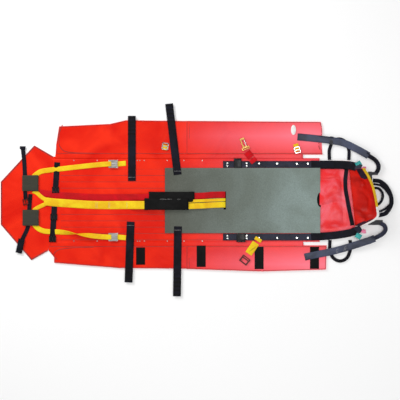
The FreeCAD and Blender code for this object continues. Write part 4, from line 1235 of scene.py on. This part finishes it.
# %% Foot cross strap
for name, y0, y1 in (("right", 226, 38), ("left", -36, -252)):
    route = [(foot_line(y * MM, 0.026) / MM, y, 5.4) for y in (y0, (y0 + y1) / 2, y1)]
    webbing(
        f"foot_cross_{name}", route, 34, BLACK_WEB, "back",
        ("foot_cross_strap",) if name == "right" else ())
for k, y in enumerate((60, -102, -234)):
    slide_frame(
        f"foot_cross_buckle_{k}", (foot_line(y * MM, 0.027) / MM, y, 9.4), (42, 36), 0.2, 2.6, PLASTIC,
        "back", replaced=("foot_cross_buckles",) if k == 0 else ())

# %% Patches on the left wing
for k, (x, low, high) in enumerate(((-338, 284, 388), (25, 273, 401), (372, 280, 414), (704, 280, 412))):
    outline = [(x - 27, -low), (x + 27, -low), (x + 27, -high), (x - 27, -high)]
    surface = flap_surface(-1, "head" if k else "foot")
    panel(f"wing_left_patch_{k}", outline, lambda px, py: surface(px, py) + 0.0016, SLEEVE, "wing_left",
          ("wing_left_patches",) if k == 0 else (), step=0.01, thick=0.0016)

# %% Tabs with stitched bars
TAB_Z = 9.0
webbing(
    "tab_right_web", [(324, 255, TAB_Z), (312, 270, TAB_Z), (298, 288, TAB_Z)], 42, CRIMSON, "tab_right",
    ("tab_right",))
webbing(
    "tab_left_web", [(353, -256, TAB_Z), (335, -283, TAB_Z), (308, -322, TAB_Z)], 44, YELLOW, "tab_left",
    ("tab_left",))
webbing("tab_right_root", [(345, 226, TAB_Z - 1), (329, 246, TAB_Z - 3)], 42, CRIMSON, "back")
webbing("tab_left_root", [(372, -228, TAB_Z - 1), (361, -246, TAB_Z - 3)], 44, YELLOW, "back")
ON_TAB = TAB_Z + 2.8
right_rows = [((300 + k, 254 + k, ON_TAB), (332 + k, 280 + k, ON_TAB)) for k in (-4, 4)]
left_rows = [((318 + k, -304 + k * 1.3, ON_TAB), (352 + k, -282 + k * 1.3, ON_TAB)) for k in (-4, 4)]
stitches("tab_right_bars", right_rows, DARK_THREAD, "tab_right", pitch=0.004)
stitches("tab_left_bars", left_rows, PAD, "tab_left", pitch=0.004)

# %% Slides on the right wing
webbing("wing_slide_tab_foot", [(-196, 300, 9.5), (-190, 330, 9.5)], 30, YELLOW, "wing_right")
webbing("wing_slide_tab_head", [(604, 292, 9.5), (590, 336, 9.5)], 30, YELLOW, "wing_right")
SLIDE_Z = 13.5
slide_frame("wing_slide_foot", (-190, 322, SLIDE_Z), (42, 40), 0.14, 3, STEEL, "wing_right", turn=80,
            replaced=("wing_right_slides",))
slide_frame("wing_slide_head", (600, 300, SLIDE_Z), (40, 38), 0.14, 3, STEEL, "wing_right", turn=105)
print("pieces so far", len(bpy.data.meshes))

# %% [markdown]
# ## Finishes for the pieces carried over from the working model
# Rivets, buckle frames, levers, the hook and the hidden battens keep their shape and take a finish that
# reads the object's own coordinates, because they have no UV map.

# %% Carried-over pieces
OBJECT_WEB = finish_material("tow_webbing_black", (0.008, 0.008, 0.012), (0.02, 0.02, 0.03), 0.5, weave=0.8,
                             pitch=0.0022, wear_and_shade_scale=12)
FINISHES = {
    RED: ("base_sheet", "wing_right_panel", "wing_left_panel"),
    BATTEN: ("battens_right", "battens_left"),
    STEEL: (
        "cam_frame_right", "cam_frame_left", "cam_lever_right", "cam_lever_left",
        "rivets", "hook_gate"),
    BRASS: ("snap_hook",),
    RED_PLASTIC: ("receiver",),
    OBJECT_WEB: ("tow_webbing", "lift_keeper"),
}
for material, names in FINISHES.items():
    for name in names:
        node = frame["nodes"][name]
        node.data.materials.clear()
        node.data.materials.append(material)
print("finished nodes", sum(len(names) for names in FINISHES.values()))

# %% [markdown]
# ## Floor and light
# A plain pale floor, a white surround and three large soft lamps. The one over the head end is placed so
# that the coated cloth there gives back a soft glare.

# %% Stage
floor_bm = bmesh.new()
bmesh.ops.create_grid(floor_bm, x_segments=1, y_segments=1, size=6)
floor_mesh = bpy.data.meshes.new("floor")
floor_bm.to_mesh(floor_mesh)
floor_bm.free()
floor = bpy.data.objects.new("floor", floor_mesh)
floor_mesh.transform(Matrix.Translation((0, 0, -0.001)))
bpy.context.scene.collection.objects.link(floor)
floor_finish = bpy.data.materials.new("pale_floor")
floor_finish.use_nodes = True
floor_shader = floor_finish.node_tree.nodes["Principled BSDF"]
floor_shader.inputs["Base Color"].default_value = (0.93, 0.93, 0.93, 1)
floor_shader.inputs["Roughness"].default_value = 0.9
floor_mesh.materials.append(floor_finish)

world = bpy.data.worlds.new("surround")
bpy.context.scene.world = world
world.use_nodes = True
world.node_tree.nodes["Background"].inputs["Color"].default_value = (1, 1, 1, 1)
world.node_tree.nodes["Background"].inputs["Strength"].default_value = 0.5


def lamp(name, place, aim, size, power):
    light = bpy.data.lights.new(name, "AREA")
    light.size = size
    light.energy = power
    made = bpy.data.objects.new(name, light)
    made.location = place
    made.rotation_euler = (Vector(aim) - Vector(place)).to_track_quat("-Z", "Y").to_euler()
    bpy.context.scene.collection.objects.link(made)


lamp("key", (-2.6, 2.4, 2.0), (0, 0, 0), 1.6, 95)
lamp("fill", (-0.4, -3.2, 3.4), (0, 0, 0), 2.5, 26)
lamp("head_glare", (1.45, 0.0, 4.6), (0.75, 0, 0), 1.1, 70)

bpy.context.scene.view_settings.view_transform = "Standard"
